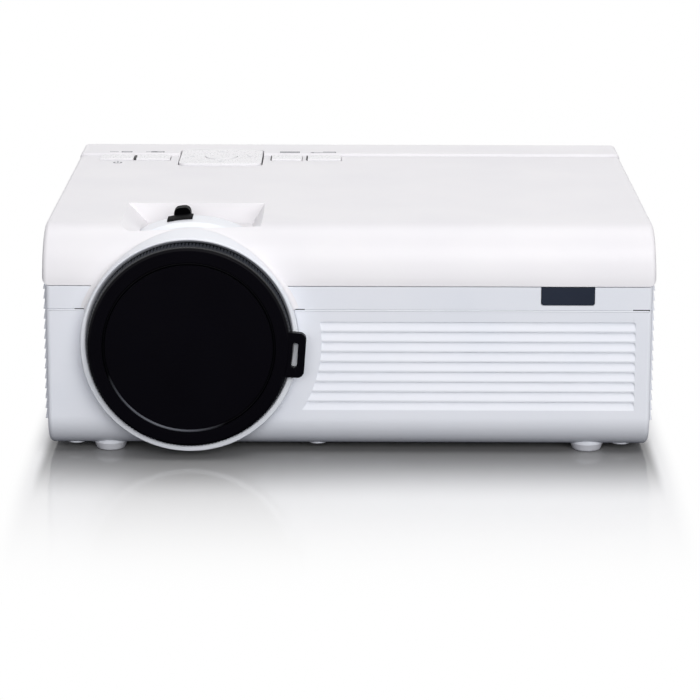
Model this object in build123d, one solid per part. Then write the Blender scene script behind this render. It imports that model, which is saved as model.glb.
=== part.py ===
from build123d import *
import math
import os

# A table-top projector with a disc drive in its right half.
# Frame: +X to the right of the lens side seen from the front, +Y to the back, +Z up.
# The origin is under the middle of the whole object, at the height of the table. Sizes in mm.

# ---------------------------------------------------------------- casing
BODY_WIDTH = 240.0
BODY_DEPTH = 205.0
BODY_TOP = 90.4
FOOT_HEIGHT = 3.0
WALL = 2.0
NOSE_RADIUS = 22.7
CHIN_RADIUS = 13.0
BACK_RADIUS = 3.0
RIM_RADIUS = 2.0
SKIRT_RADIUS = 3.0
LOWER_INSET = 1.3
UPPER_SEAM = 68.8
LOWER_SEAM = 59.4
SEAM_GAP = 0.35
LOWER_GAP = 0.15
SEAM_NOTCH_INSET = 8.8
SEAM_NOTCH_HEIGHT = 0.5
LAP_HEIGHT = 2.5
LAP_THICK = 1.2
PANEL_GAP = 0.3
PLAY = 0.3
STRIP_DEPTH = 26.0
STRIP_RISE = 1.0

# ---------------------------------------------------------------- louvres
LOUVRE_PITCH = 4.02
LOUVRE_TOP = 54.5
LOUVRE_COUNT = 9
LOUVRE_DEPTH = 1.0
LOUVRE_HEIGHT = 3.4
LOUVRE_CORNER = 1.2
LOUVRE_CLEAR_RADIUS = 51.6
LOUVRE_INSET = 7.7
TOOTH_DEPTH = 0.7
GRILLE_START = 5.0
GRILLE_END = 6.0
GRILLE_BOTTOM = 14.0
GRILLE_SLITS = 4
GRILLE_RIB = 5.0
SLIT_HEIGHT = 1.7
HOOK_THICK = 1.2
HOOK_LAP = 2.5

# ---------------------------------------------------------------- lens and focus
LENS_INSET = 57.7
LENS_Z = 46.1
COLLAR_RADIUS = 42.7
COLLAR_PROUD = 6.0
COLLAR_DEPTH = 17.0
COLLAR_WALL = 2.5
COLLAR_EDGE = 0.5
COLLAR_CLEAR = 0.15
TUBE_RADIUS = 41.6
TUBE_WALL = 1.8
TUBE_END = 40.5
CREST_START = 23.0
CREST_SLOPE = 2.4
CREST_RADIUS = 43.2
SPIGOT_RADIUS = 37.1
SPIGOT_PROUD = 4.0
WEB_DEPTH = 3.0
WEB_THICK = 2.0
CAP_RADIUS = 39.9
CAP_PROUD = 10.0
CAP_FACE = 2.2
CAP_SKIRT = 2.5
CAP_TAPER = 0.6
CAP_GROOVE_RADIUS = 33.3
CAP_GROOVE_WIDTH = 1.2
CAP_GROOVE_DEPTH = 0.8
LOOP_ANGLE = -4.1
LOOP_REACH = 5.5
LOOP_HEIGHT = 17.8
LOOP_SLOT_WIDTH = 2.2
LOOP_SLOT_HEIGHT = 9.9
LOOP_THICK = 3.2
BARREL_RADIUS = 35.0
BARREL_WALL = 4.0
BARREL_SETBACK = 1.0
BARREL_LENGTH = 46.0
BARREL_LIP = 2.0
SLIDE_FIT = 0.08
SLEEVE_WALL = 2.1
FRONT_LENS_SETBACK = 3.0
FRONT_LENS_THICK = 12.0
REAR_LENS_SETBACK = 34.0
REAR_LENS_THICK = 8.0
LENS_SAG = 3.0
RING_START = 24.0
FOCUS_BACK = 3.0
RING_WALL = 2.0
LEVER_BACK = 2.0
LEVER_WIDTH = 6.0
LEVER_TOP = 91.9
LEVER_BASE = 11.8
LEVER_TIP = 6.8
LEVER_NECK_SHARE = 0.45
LEVER_ROUND = 2.4
LEVER_ANGLE = -6.4

# ---------------------------------------------------------------- finger pocket
POCKET_WIDTH = 55.8
POCKET_FRONT_LEFT = 12.3
POCKET_FRONT_RIGHT = 16.0
POCKET_CORNER = 2.0
POCKET_BACK = 61.5
POCKET_DEPTH = 8.0
POCKET_WALL = 1.6
POCKET_SLOPE_LEFT = 8.0
POCKET_SLOPE_RIGHT = 5.0
POCKET_SLOPE_BACK = 1.5

# ---------------------------------------------------------------- keys
KEY_LENGTH = 11.0
KEY_SETBACK = 2.0
KEY_RISE = 0.8
KEY_THICK = 2.4
KEY_GAP = 0.3
KEY_FLANGE = 0.8
KEY_FLANGE_THICK = 0.5
KEY_STEM_RADIUS = 1.8
KEY_TRAVEL = 0.4
# Each key's inset from the casing's left side, and its width.
KEY_PLACES = {"power_key": (9.9, 14.6), "source_key": (25.8, 14.9),
              "menu_key": (85.5, 13.3), "return_key": (101.4, 14.7)}
PAD_SIZE = 36.0
PAD_INSET = 63.2
PAD_AHEAD = 8.5
PAD_THICK = 2.6
PAD_GAP = 0.6
PAD_CORNER = 4.0
PIVOT_RADIUS = 10.0
PIVOT_WALL = 1.2
PIVOT_CLEAR = 0.4
OK_RADIUS = 6.9
OK_RISE = 0.3
KEY_BOARD_DROP = 4.0
KEY_BOARD_THICK = 1.4
KEY_BOARD_MARGIN = 3.0
DOME_HEIGHT = 0.4

# ---------------------------------------------------------------- light engine
TUNNEL_WIDTH = 78.0
TUNNEL_CLEAR = 0.9
TUNNEL_WALL = 2.0
TUNNEL_END = 159.5
PLATE_CLEAR = 0.3
PLATE_RIB = 1.4
FRONT_FRESNEL_AT = 91.0
LCD_AT = 105.0
REAR_FRESNEL_AT = 117.0
HEAT_GLASS_AT = 125.0
FRESNEL_THICK = 2.0
LCD_THICK = 3.0
LCD_VIEW_WIDTH = 62.0
LCD_VIEW_HEIGHT = 38.0
HEAT_GLASS_THICK = 1.4
FUNNEL_AT = 130.0
FUNNEL_MOUTH = 22.0
FUNNEL_WALL = 1.0
LED_BOARD_SIZE = 40.0
LED_BOARD_THICK = 1.6
LED_SIZE = 12.0
LED_HEIGHT = 1.0
SINK_WIDTH = 60.0
SINK_BASE = 4.4
SINK_DEPTH = 22.0
FIN_COUNT = 13
FIN_THICK = 1.2

# ---------------------------------------------------------------- fans
EXHAUST_SIZE = 60.0
EXHAUST_THICK = 15.0
EXHAUST_Z = 39.0
INTAKE_SIZE = 50.0
INTAKE_THICK = 10.0
INTAKE_Y = 5.0
INTAKE_Z = 42.0
FAN_BLADES = 7
FAN_TIP_GAP = 0.8
FAN_RIM = 1.8
FAN_HUB_SHARE = 0.22
FAN_PLATE = 1.6
FAN_SHAFT_RADIUS = 1.5
FAN_SHAFT_FIT = 0.05
FAN_SCREW_RADIUS = 2.1
BLADE_THICK = 1.2
BLADE_CHORD_SHARE = 1.15
BLADE_ROOT_ANGLE = 48.0
BLADE_TIP_ANGLE = 28.0

# ---------------------------------------------------------------- boards
BOARD_CLEAR = 15.3
BOARD_INSET = 22.0
BOARD_FRONT = -70.0
BOARD_HEIGHT = 18.0
BOARD_THICK = 1.6
BOARD_BACK_GAP = 3.0
BOARD_HOLE_INSET = 5.0
POST_RADIUS = 3.0
SCREW_RADIUS = 1.4
SCREW_FIT = 0.06
SCREW_HEAD_RADIUS = 2.6
SCREW_HEAD_HEIGHT = 1.8
BOARD_SCREW_LENGTH = 6.0
CHIP_HEIGHT = 1.4
# Each chip's near corner from the middle of the board in x and y, its width and its length.
CHIPS = ((-18, -12, 20, 20), (14, -20, 12, 16), (14, 16, 14, 10), (-22, 24, 8, 12))
CAPACITOR_X = -30.0
CAPACITOR_Y = -45.0
CAPACITOR_COUNT = 4
CAPACITOR_RADIUS = 3.0
CAPACITOR_PITCH = 9.0
CAPACITOR_HEIGHT = 8.4

# ---------------------------------------------------------------- case screws, feet, tripod
CASE_POST_INSET = 11.5
CASE_POST_FROM_LENS = 49.9
CASE_POST_FRONT = 13.4
CASE_POST_BACK = 12.0
CASE_POST_HEIGHT = 14.0
CASE_SCREW_LENGTH = 16.0
CASE_SCREW_SINK = 6.0
BUMP_RADIUS = 4.0
BUMP_TIP = 3.4
BUMP_HEIGHT = 0.4
FOOT_RADIUS = 6.7
FOOT_TREAD = 5.4
FOOT_ROUND = 1.2
FOOT_INSET = 25.1
FOOT_FRONT = 13.5
FOOT_BACK = 24.0
TRIPOD_RADIUS = 3.175
TRIPOD_WALL = 2.4
TRIPOD_DEPTH = 10.0
TRIPOD_BOSS_WALL = 2.5

# ---------------------------------------------------------------- disc drive
DRIVE_HEIGHT = 12.7
DRIVE_BOTTOM = 71.0
DRIVE_Y = 20.0
DRIVE_SETBACK = 3.0
DRIVE_SHEET = 0.8
DRIVE_LID_RIB = 0.5
DRIVE_BACK_CLEAR = 3.8
LID_RING_SHARE = 0.6
LID_RING_WIDTH = 2.9
DISC_RADIUS = 60.0
WELL_CLEAR = 0.6
TRAY_END = 1.4
TRAY_SIDE = 0.8
FINGER_SHARE = 0.78
TRAY_DECK_TOP = 6.9
TRAY_DECK = 1.0
TRAY_RIM = 9.0
TRAY_FRAME = 3.0
RUNNER_THICK = 1.2
RUNNER_HEIGHT = 5.0
RUNNER_SHORT = 6.0
RUNNER_LIFT = 2.4
RUNNER_GAP = 0.3
FRONT_THICK = 2.2
FRONT_TOP_RISE = 0.3
FRONT_MARGIN = 1.0
NOTCH_CLEAR = 0.4
EJECT_WIDTH = 9.0
EJECT_HEIGHT = 3.2
EJECT_OFFSET = 46.0
EJECT_Z = 77.0
EJECT_FLANGE = 0.6
EJECT_LENGTH = 3.0
EJECT_TRAVEL = 0.6
EJECT_CLEAR = 0.2
TRAVERSE_THICK = 0.8
TRAVERSE_MARGIN = 2.0
TAB_HALF = 2.0
MOTOR_RADIUS = 10.0
HUB_SEAT_RADIUS = 10.0
HUB_BOSS_RADIUS = 7.4
HUB_SEAT_LIFT = 7.7
HUB_BOSS_HEIGHT = 1.9
HUB_SHAFT_RADIUS = 1.0
HUB_SHAFT_FIT = 0.05
HUB_HOLE_CLEAR = 1.5
SLED_LENGTH = 15.0
SLED_WIDTH = 34.0
SLED_HEIGHT = 2.8
SLED_NEAR = 11.8
ROD_RADIUS = 0.9
ROD_FIT = 0.08
ROD_SPAN = 28.0
SCREW_LEAD_RADIUS = 1.0
SCREW_END_RADIUS = 0.6
SLED_MOTOR_LENGTH = 9.0

# ---------------------------------------------------------------- rear panel and sockets
REAR_MARGIN = 6.0
REAR_BOTTOM = 10.0
FAN_SLOT_PITCH = 5.0
FAN_SLOT_HEIGHT = 2.8
SOCKET_START = 14.0
SOCKET_END = 8.0
POWER_RADIUS = 3.0
POWER_PIN_RADIUS = 1.0
JACK_RADIUS = 1.8
JACK_DEPTH = 12.0
JACK_BODY = 7.0
USB_WIDTH = 13.2
USB_HEIGHT = 5.8
HDMI_WIDTH = 15.0
HDMI_HEIGHT = 5.6
SOCKET_DEPTH = 13.0
SOCKET_SHELL = 0.5
SOCKET_CLEAR = 0.3

# ---------------------------------------------------------------- small parts
WINDOW_INSET = 23.9
WINDOW_WIDTH = 21.2
WINDOW_BOTTOM = 61.2
WINDOW_CORNER = 1.0
RECEIVER_WIDTH = 6.0
RECEIVER_HEIGHT = 5.0
RECEIVER_DEPTH = 4.0
RECEIVER_POST = 1.5
SPEAKER_RADIUS = 20.0
SPEAKER_RIM = 2.0
SPEAKER_DEPTH = 13.0
SPEAKER_MAGNET_RADIUS = 11.0
SPEAKER_Y = 62.0
SPEAKER_Z = 42.0

# ---------------------------------------------------------------- places worked out from the sizes
FRONT = -(BODY_DEPTH + CAP_PROUD) / 2 + CAP_PROUD
BACK = FRONT + BODY_DEPTH
FLOOR = FOOT_HEIGHT
DECK = FLOOR + WALL
HALF = BODY_WIDTH / 2
LENS_X = LENS_INSET - HALF
LOWER_HALF = HALF - LOWER_INSET
LOWER_INNER = LOWER_HALF - WALL
CEILING = BODY_TOP - WALL
STRIP_FRONT = BACK - STRIP_DEPTH
STRIP_TOP = BODY_TOP + STRIP_RISE
SIDE_TOP = UPPER_SEAM - PANEL_GAP
COLLAR_HOLE = COLLAR_RADIUS + COLLAR_CLEAR
TUBE_HOLE = TUBE_RADIUS + PLAY
CREST_HOLE = CREST_RADIUS + PLAY
LOUVRE_END = HALF - LOUVRE_INSET
GRILLE_Y0 = FRONT + GRILLE_START + PANEL_GAP
GRILLE_Y1 = BACK - GRILLE_END
REAR_HALF = LOWER_HALF - REAR_MARGIN
CASE_POST_X = HALF - CASE_POST_INSET
CASE_POSTS = [(-CASE_POST_X, FRONT + CASE_POST_FRONT),
              (LENS_X + CASE_POST_FROM_LENS, FRONT + CASE_POST_FRONT),
              (CASE_POST_X, FRONT + CASE_POST_FRONT),
              (-CASE_POST_X, BACK - CASE_POST_BACK),
              (CASE_POST_X, BACK - CASE_POST_BACK)]
CASE_POST_RADIUS = SCREW_HEAD_RADIUS + PLAY + WALL / 3
POST_TOP = DECK + CASE_POST_HEIGHT
SCREW_SEAT = FLOOR + CASE_SCREW_SINK
FOOT_X = HALF - FOOT_INSET
SLEEVE_BORE = BARREL_RADIUS + SLIDE_FIT
SLEEVE_RADIUS = SLEEVE_BORE + SLEEVE_WALL
RING_BORE = SLEEVE_RADIUS + SLIDE_FIT
RING_RADIUS = RING_BORE + RING_WALL
RING_END = BARREL_SETBACK + BARREL_LENGTH + FOCUS_BACK
LEVER_START = RING_END - LEVER_BACK - LEVER_WIDTH
TUNNEL_HEIGHT = 2 * (DRIVE_BOTTOM - TUNNEL_CLEAR - LENS_Z)
TUNNEL_X0 = LENS_X - TUNNEL_WIDTH / 2
TUNNEL_X1 = LENS_X + TUNNEL_WIDTH / 2
TUNNEL_Z0 = LENS_Z - TUNNEL_HEIGHT / 2
TUNNEL_Z1 = LENS_Z + TUNNEL_HEIGHT / 2
TUNNEL_IN_WIDTH = TUNNEL_WIDTH - 2 * TUNNEL_WALL
TUNNEL_IN_HEIGHT = TUNNEL_HEIGHT - 2 * TUNNEL_WALL
TUNNEL_FRONT = FRONT + RING_END + PLAY
TUNNEL_BACK = FRONT + TUNNEL_END
BOARD_LEFT = TUNNEL_X1 + BOARD_CLEAR
BOARD_RIGHT = HALF - BOARD_INSET
BOARD_BACK = BACK - BOARD_BACK_GAP
BOARD_TOP = BOARD_HEIGHT + BOARD_THICK
BOARD_POSTS = [(x, y)
               for x in (BOARD_LEFT + BOARD_HOLE_INSET, BOARD_RIGHT - BOARD_HOLE_INSET)
               for y in (BOARD_FRONT + BOARD_HOLE_INSET, BOARD_BACK - 4 * BOARD_HOLE_INSET)]
SOCKET_PITCH = (BOARD_RIGHT - SOCKET_END - BOARD_LEFT - SOCKET_START) / 4
HDMI_X = BOARD_LEFT + SOCKET_START
USB_X = HDMI_X + SOCKET_PITCH
VIDEO_X = USB_X + SOCKET_PITCH
PHONES_X = VIDEO_X + SOCKET_PITCH
POWER_X = PHONES_X + SOCKET_PITCH
WINDOW_RIGHT = HALF - WINDOW_INSET
WINDOW_LEFT = WINDOW_RIGHT - WINDOW_WIDTH
POCKET_LEFT = LENS_X - POCKET_WIDTH / 2
POCKET_RIGHT = LENS_X + POCKET_WIDTH / 2
POCKET_FLOOR = BODY_TOP - POCKET_DEPTH
KEY_Y1 = STRIP_FRONT - KEY_SETBACK
KEY_Y0 = KEY_Y1 - KEY_LENGTH
KEY_TOP = BODY_TOP + KEY_RISE
KEY_SPANS = {name: (inset - HALF, inset - HALF + width)
             for name, (inset, width) in KEY_PLACES.items()}
PAD_X = PAD_INSET - HALF
PAD_Y = STRIP_FRONT - PAD_AHEAD
PAD_BOTTOM = STRIP_TOP - PAD_THICK
KEY_BOARD_TOP = BODY_TOP - KEY_BOARD_DROP
TRAY_LENGTH = 2 * (DISC_RADIUS + WELL_CLEAR + TRAY_END)
TRAY_HALF = DISC_RADIUS + WELL_CLEAR + TRAY_SIDE
TRAY_X1 = HALF - FRONT_THICK
TRAY_X0 = TRAY_X1 - TRAY_LENGTH
RUNNER_LENGTH = TRAY_LENGTH - RUNNER_SHORT
DRIVE_WIDTH = 2 * (TRAY_HALF + DRIVE_SHEET + 2 * RUNNER_GAP + RUNNER_THICK)
DRIVE_X1 = HALF - DRIVE_SETBACK
DRIVE_X0 = TRAY_X0 - DRIVE_BACK_CLEAR
DRIVE_Y0 = DRIVE_Y - DRIVE_WIDTH / 2
DRIVE_Y1 = DRIVE_Y + DRIVE_WIDTH / 2
DRIVE_TOP = DRIVE_BOTTOM + DRIVE_HEIGHT
FRONT_TOP = DRIVE_TOP + FRONT_TOP_RISE
TRAY_BOTTOM = DRIVE_BOTTOM + DRIVE_SHEET + PLAY
TRAY_DECK_Z = DRIVE_BOTTOM + TRAY_DECK_TOP
TRAY_TOP = DRIVE_BOTTOM + TRAY_RIM
DISC_X = TRAY_X1 - TRAY_LENGTH / 2
TRAVERSE_Z = TRAY_BOTTOM + PLAY
TRAVERSE_TOP = TRAVERSE_Z + TRAVERSE_THICK
HUB_SEAT_Z = DRIVE_BOTTOM + HUB_SEAT_LIFT
SLED_X0 = DISC_X - SLED_NEAR - SLED_LENGTH
SLED_Z = TRAVERSE_TOP + PLAY
ROD_Z = SLED_Z + SLED_HEIGHT / 2
SLED_MOTOR_RADIUS = SLED_HEIGHT / 2 + PLAY
ROD_X0 = TRAY_X0 + TRAY_FRAME + PLAY + 2 * TRAVERSE_THICK
SLED_TRAVEL = SLED_X0 - PLAY - ROD_X0
ROD_X1 = SLED_X0 + SLED_LENGTH + SLED_NEAR - MOTOR_RADIUS + PLAY
LEAD_Y = DRIVE_Y + SLED_WIDTH / 2 + SLED_MOTOR_RADIUS + 2 * PLAY
EJECT_Y = DRIVE_Y + EJECT_OFFSET


# ---------------------------------------------------------------- small helpers
def box(x0, x1, y0, y1, z0, z1):
    middle = Pos((x0 + x1) / 2, (y0 + y1) / 2, (z0 + z1) / 2)
    return middle * Box(x1 - x0, y1 - y0, z1 - z0)


def rod_x(radius, y, z, x0, x1):
    return Pos((x0 + x1) / 2, y, z) * Rot(0, 90, 0) * Cylinder(radius, x1 - x0)


def rod_y(radius, x, z, y0, y1):
    return Pos(x, (y0 + y1) / 2, z) * Rot(90, 0, 0) * Cylinder(radius, y1 - y0)


def rod_z(radius, x, y, z0, z1):
    return Pos(x, y, (z0 + z1) / 2) * Cylinder(radius, z1 - z0)


def slab_z(width, length, corner, x, y, z0, z1):
    """A flat plate with rounded corners, lying level."""
    outline = Pos(x, y, z0) * RectangleRounded(width, length, corner)
    return extrude(outline, z1 - z0)


def slab_x(width, height, corner, y, z, x0, x1):
    """A rounded plate standing square to the X axis."""
    outline = Plane(origin=(x0, y, z), x_dir=(0, 1, 0), z_dir=(1, 0, 0))
    return extrude(outline * RectangleRounded(width, height, corner), x1 - x0)


def turned(points):
    """A ring or disc turned about the lens axis from (radius, y) points."""
    section = make_face(Polyline(*points, close=True))
    return Pos(LENS_X, 0, LENS_Z) * revolve(section, Axis.Y, 360)


def along_x(points, x0, x1):
    """A bar along X with the outline given as (y, z) points."""
    plane = Plane(origin=(x0, 0, 0), x_dir=(0, 1, 0), z_dir=(1, 0, 0))
    return extrude(plane * make_face(Polyline(*points, close=True)), x1 - x0)


def along_y(points, y0, y1):
    """A bar along Y with the outline given as (x, z) points."""
    plane = Plane(origin=(0, y1, 0), x_dir=(1, 0, 0), z_dir=(0, -1, 0))
    return extrude(plane * make_face(Polyline(*points, close=True)), y1 - y0)


def casing_block(half_width, inset):
    """The outer form of the casing, drawn in by inset on every side."""
    block = box(-half_width + inset, half_width - inset, FRONT + inset, BACK - inset,
                FLOOR + inset, BODY_TOP - inset)
    long_edges = block.edges().filter_by(Axis.X)
    nose_edge = long_edges.group_by(Axis.Y)[0].sort_by(Axis.Z)[-1]
    block = fillet(nose_edge, NOSE_RADIUS - inset)
    chin_edge = block.edges().filter_by(Axis.X).group_by(Axis.Z)[0].sort_by(Axis.Y)[0]
    block = fillet(chin_edge, CHIN_RADIUS - inset)
    back_edges = block.edges().filter_by(Axis.X).group_by(Axis.Y)[-1]
    block = fillet(back_edges, BACK_RADIUS - inset)
    rim = RIM_RADIUS - inset
    if rim > 0:
        for side in (0, -1):
            block = fillet(block.edges().group_by(Axis.X)[side], rim)
    return block


def cover_envelope():
    """The outer form above the upper seam, with the rounded lower edge of its sides."""
    zone = box(-HALF, HALF, FRONT - 1, BACK + 1, UPPER_SEAM, STRIP_TOP + 1)
    lower_edges = zone.edges().filter_by(Axis.Y).group_by(Axis.Z)[0]
    zone = fillet(lower_edges, SKIRT_RADIUS)
    return casing_block(HALF, 0) & zone


# ---------------------------------------------------------------- casing
def pocket_form(grow):
    """The finger pocket as a solid, with three slanted walls and an upright front set askew."""
    front_left = FRONT + POCKET_FRONT_LEFT - grow
    front_right = FRONT + POCKET_FRONT_RIGHT - grow
    back = FRONT + POCKET_BACK + grow

    def section(z, left_slope, right_slope, back_slope):
        left = POCKET_LEFT + left_slope - grow
        right = POCKET_RIGHT - right_slope + grow
        outline = Polyline((left, front_left), (right, front_right), (right, back - back_slope),
                           (left, back - back_slope), close=True)
        return Pos(0, 0, z) * make_face(outline)

    bottom = section(POCKET_FLOOR - grow, POCKET_SLOPE_LEFT, POCKET_SLOPE_RIGHT, POCKET_SLOPE_BACK)
    top = section(BODY_TOP, 0, 0, 0)
    form = loft(Sketch() + [bottom, top])
    upright = [edge for edge in form.edges() if edge.bounding_box().size.Z > POCKET_DEPTH / 2]
    corner = ShapeList(upright).sort_by(Axis.X)[:2].sort_by(Axis.Y)[0]
    return fillet(corner, POCKET_CORNER + grow)


def key_openings():
    """The holes in the cover for the four keys and the direction plate."""
    holes = []
    for x0, x1 in KEY_SPANS.values():
        holes.append(box(x0 - KEY_GAP, x1 + KEY_GAP, KEY_Y0 - KEY_GAP, KEY_Y1 + KEY_GAP,
                         CEILING - 1, STRIP_TOP + 1))
    pad_hole = PAD_SIZE + 2 * PAD_GAP
    holes.append(slab_z(pad_hole, pad_hole, PAD_CORNER, PAD_X, PAD_Y, CEILING - 1, STRIP_TOP + 1))
    return holes


def make_top_cover():
    outer = cover_envelope()
    cover = outer - casing_block(HALF, WALL)
    strip = box(-HALF, HALF, STRIP_FRONT, BACK, CEILING, STRIP_TOP)
    strip = fillet(strip.edges().filter_by(Axis.Y).group_by(Axis.Z)[-1], RIM_RADIUS)
    strip = chamfer(strip.edges().filter_by(Axis.X).group_by(Axis.Z)[-1], STRIP_RISE * 0.9)
    cover = cover + strip
    cover = cover + (pocket_form(POCKET_WALL) & casing_block(HALF, 0))
    cover = cover - pocket_form(0)
    pillar_zone = casing_block(HALF, WALL / 2)
    for x, y in CASE_POSTS:
        pillar = rod_z(CASE_POST_RADIUS, x, y, POST_TOP, BODY_TOP)
        pilot = rod_z(SCREW_RADIUS + SCREW_FIT, x, y, 0, SCREW_SEAT + CASE_SCREW_LENGTH + PLAY)
        cover = cover + (pillar & pillar_zone) - pilot
    inset = 2 * CASE_POST_RADIUS
    for x in (DRIVE_X0 + inset, DRIVE_X1 - inset):
        for y in (DRIVE_Y - DRIVE_WIDTH / 4, DRIVE_Y + DRIVE_WIDTH / 4):
            cover = cover + rod_z(CASE_POST_RADIUS, x, y, DRIVE_TOP, CEILING + WALL / 2)
    for x, y in key_board_bosses():
        cover = cover + rod_z(KEY_STEM_RADIUS, x, y, KEY_BOARD_TOP, CEILING + WALL / 2)
    cover = cover - rod_y(COLLAR_HOLE, LENS_X, LENS_Z, FRONT - 1, FRONT + COLLAR_DEPTH + COLLAR_CLEAR)
    cover = cover - rod_y(TUBE_HOLE, LENS_X, LENS_Z, FRONT, FRONT + TUBE_END + PLAY)
    cover = cover - rod_y(CREST_HOLE, LENS_X, LENS_Z, FRONT + CREST_START - PLAY, FRONT + TUBE_END + PLAY)
    cover = cover - rod_y(RING_RADIUS + PLAY, LENS_X, LENS_Z, FRONT, FRONT + RING_END + PLAY)
    slot_margin = LEVER_BASE / 20
    cover = cover - box(POCKET_LEFT + POCKET_SLOPE_LEFT + slot_margin,
                        POCKET_RIGHT - POCKET_SLOPE_RIGHT - slot_margin,
                        FRONT + LEVER_START - 2 * PLAY, FRONT + RING_END + PLAY,
                        POCKET_FLOOR - 2 * POCKET_WALL, POCKET_FLOOR + PLAY)
    for hole in key_openings():
        cover = cover - hole
    margin = FRONT_MARGIN + NOTCH_CLEAR
    cover = cover - box(HALF - WALL - 1, HALF + 1, DRIVE_Y0 - margin, DRIVE_Y1 + margin,
                        UPPER_SEAM - 1, FRONT_TOP + NOTCH_CLEAR)
    return cover


def window_form(gap, front, top):
    """The infrared window's plate, with its two lower corners rounded."""
    form = box(WINDOW_LEFT + gap, WINDOW_RIGHT - gap, front, FRONT + WALL / 2, WINDOW_BOTTOM + gap, top)
    return fillet(form.edges().filter_by(Axis.Y).group_by(Axis.Z)[0], WINDOW_CORNER)


def make_front_bands():
    """The strip across the front, in two mouldings that end at the lens collar."""
    shell = casing_block(LOWER_HALF, 0) - casing_block(LOWER_HALF, WALL)
    top = UPPER_SEAM - SEAM_GAP
    band = shell & box(-HALF, HALF, FRONT - 1, FRONT + GRILLE_START, LOWER_SEAM, top)
    tongue_y = FRONT + WALL
    tongue_half = LOWER_INNER - HOOK_LAP
    tongue = box(-tongue_half, tongue_half, tongue_y + 2 * PLAY, tongue_y + 2 * PLAY + LAP_THICK,
                 LOWER_SEAM - LAP_HEIGHT, top + LAP_HEIGHT)
    web = box(-tongue_half, tongue_half, tongue_y - WALL / 2, tongue_y + 3 * PLAY,
              LOWER_SEAM + WALL, top - WALL)
    band = band + tongue + web
    middle = (WINDOW_LEFT + WINDOW_RIGHT) / 2
    receiver_z = (WINDOW_BOTTOM + top) / 2
    for side in (-1, 1):
        inner = middle + side * (RECEIVER_WIDTH / 2 + PLAY)
        outer = inner + side * RECEIVER_POST
        post = box(min(inner, outer), max(inner, outer), tongue_y, tongue_y + 2 * WALL + RECEIVER_DEPTH,
                   receiver_z - RECEIVER_HEIGHT / 2, receiver_z + RECEIVER_HEIGHT / 2)
        band = band + post
    band = band - rod_y(COLLAR_HOLE, LENS_X, LENS_Z, FRONT - 1, FRONT + 3 * WALL)
    band = band - window_form(0, FRONT - 1, top + 1)
    band = band - box(middle - RECEIVER_WIDTH / 2 - PLAY, middle + RECEIVER_WIDTH / 2 + PLAY, FRONT,
                      tongue_y + 3 * WALL, receiver_z - RECEIVER_HEIGHT / 2, receiver_z + RECEIVER_HEIGHT / 2)
    left = band & box(-HALF, LENS_X, FRONT - 1, BACK, FLOOR, BODY_TOP)
    right = band & box(LENS_X, HALF, FRONT - 1, BACK, FLOOR, BODY_TOP)
    return left, right


def louvre_recesses():
    """Nine siding-like recesses that end on a circle round the lens."""
    cuts = []
    for index in range(LOUVRE_COUNT):
        top = LOUVRE_TOP - index * LOUVRE_PITCH
        wedge = [(FRONT - 1, top), (FRONT + LOUVRE_DEPTH, top), (FRONT, top - LOUVRE_HEIGHT),
                 (FRONT - 1, top - LOUVRE_HEIGHT)]
        rise = max(abs(top - LENS_Z), abs(top - LOUVRE_HEIGHT - LENS_Z))
        start = LENS_X + math.sqrt(LOUVRE_CLEAR_RADIUS ** 2 - rise ** 2) - 1
        room = box(start, LOUVRE_END, FRONT - 2, FRONT + 2 * LOUVRE_DEPTH, top - 2 * LOUVRE_HEIGHT, top)
        end_edges = room.edges().filter_by(Axis.Y).group_by(Axis.X)[-1]
        room = fillet(end_edges.sort_by(Axis.Z)[-1], LOUVRE_CORNER)
        cuts.append(along_x(wedge, start, LOUVRE_END) & room)
    clear = rod_y(LOUVRE_CLEAR_RADIUS, LENS_X, LENS_Z, FRONT - 2, FRONT + WALL)
    return [cut - clear for cut in cuts]


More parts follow.
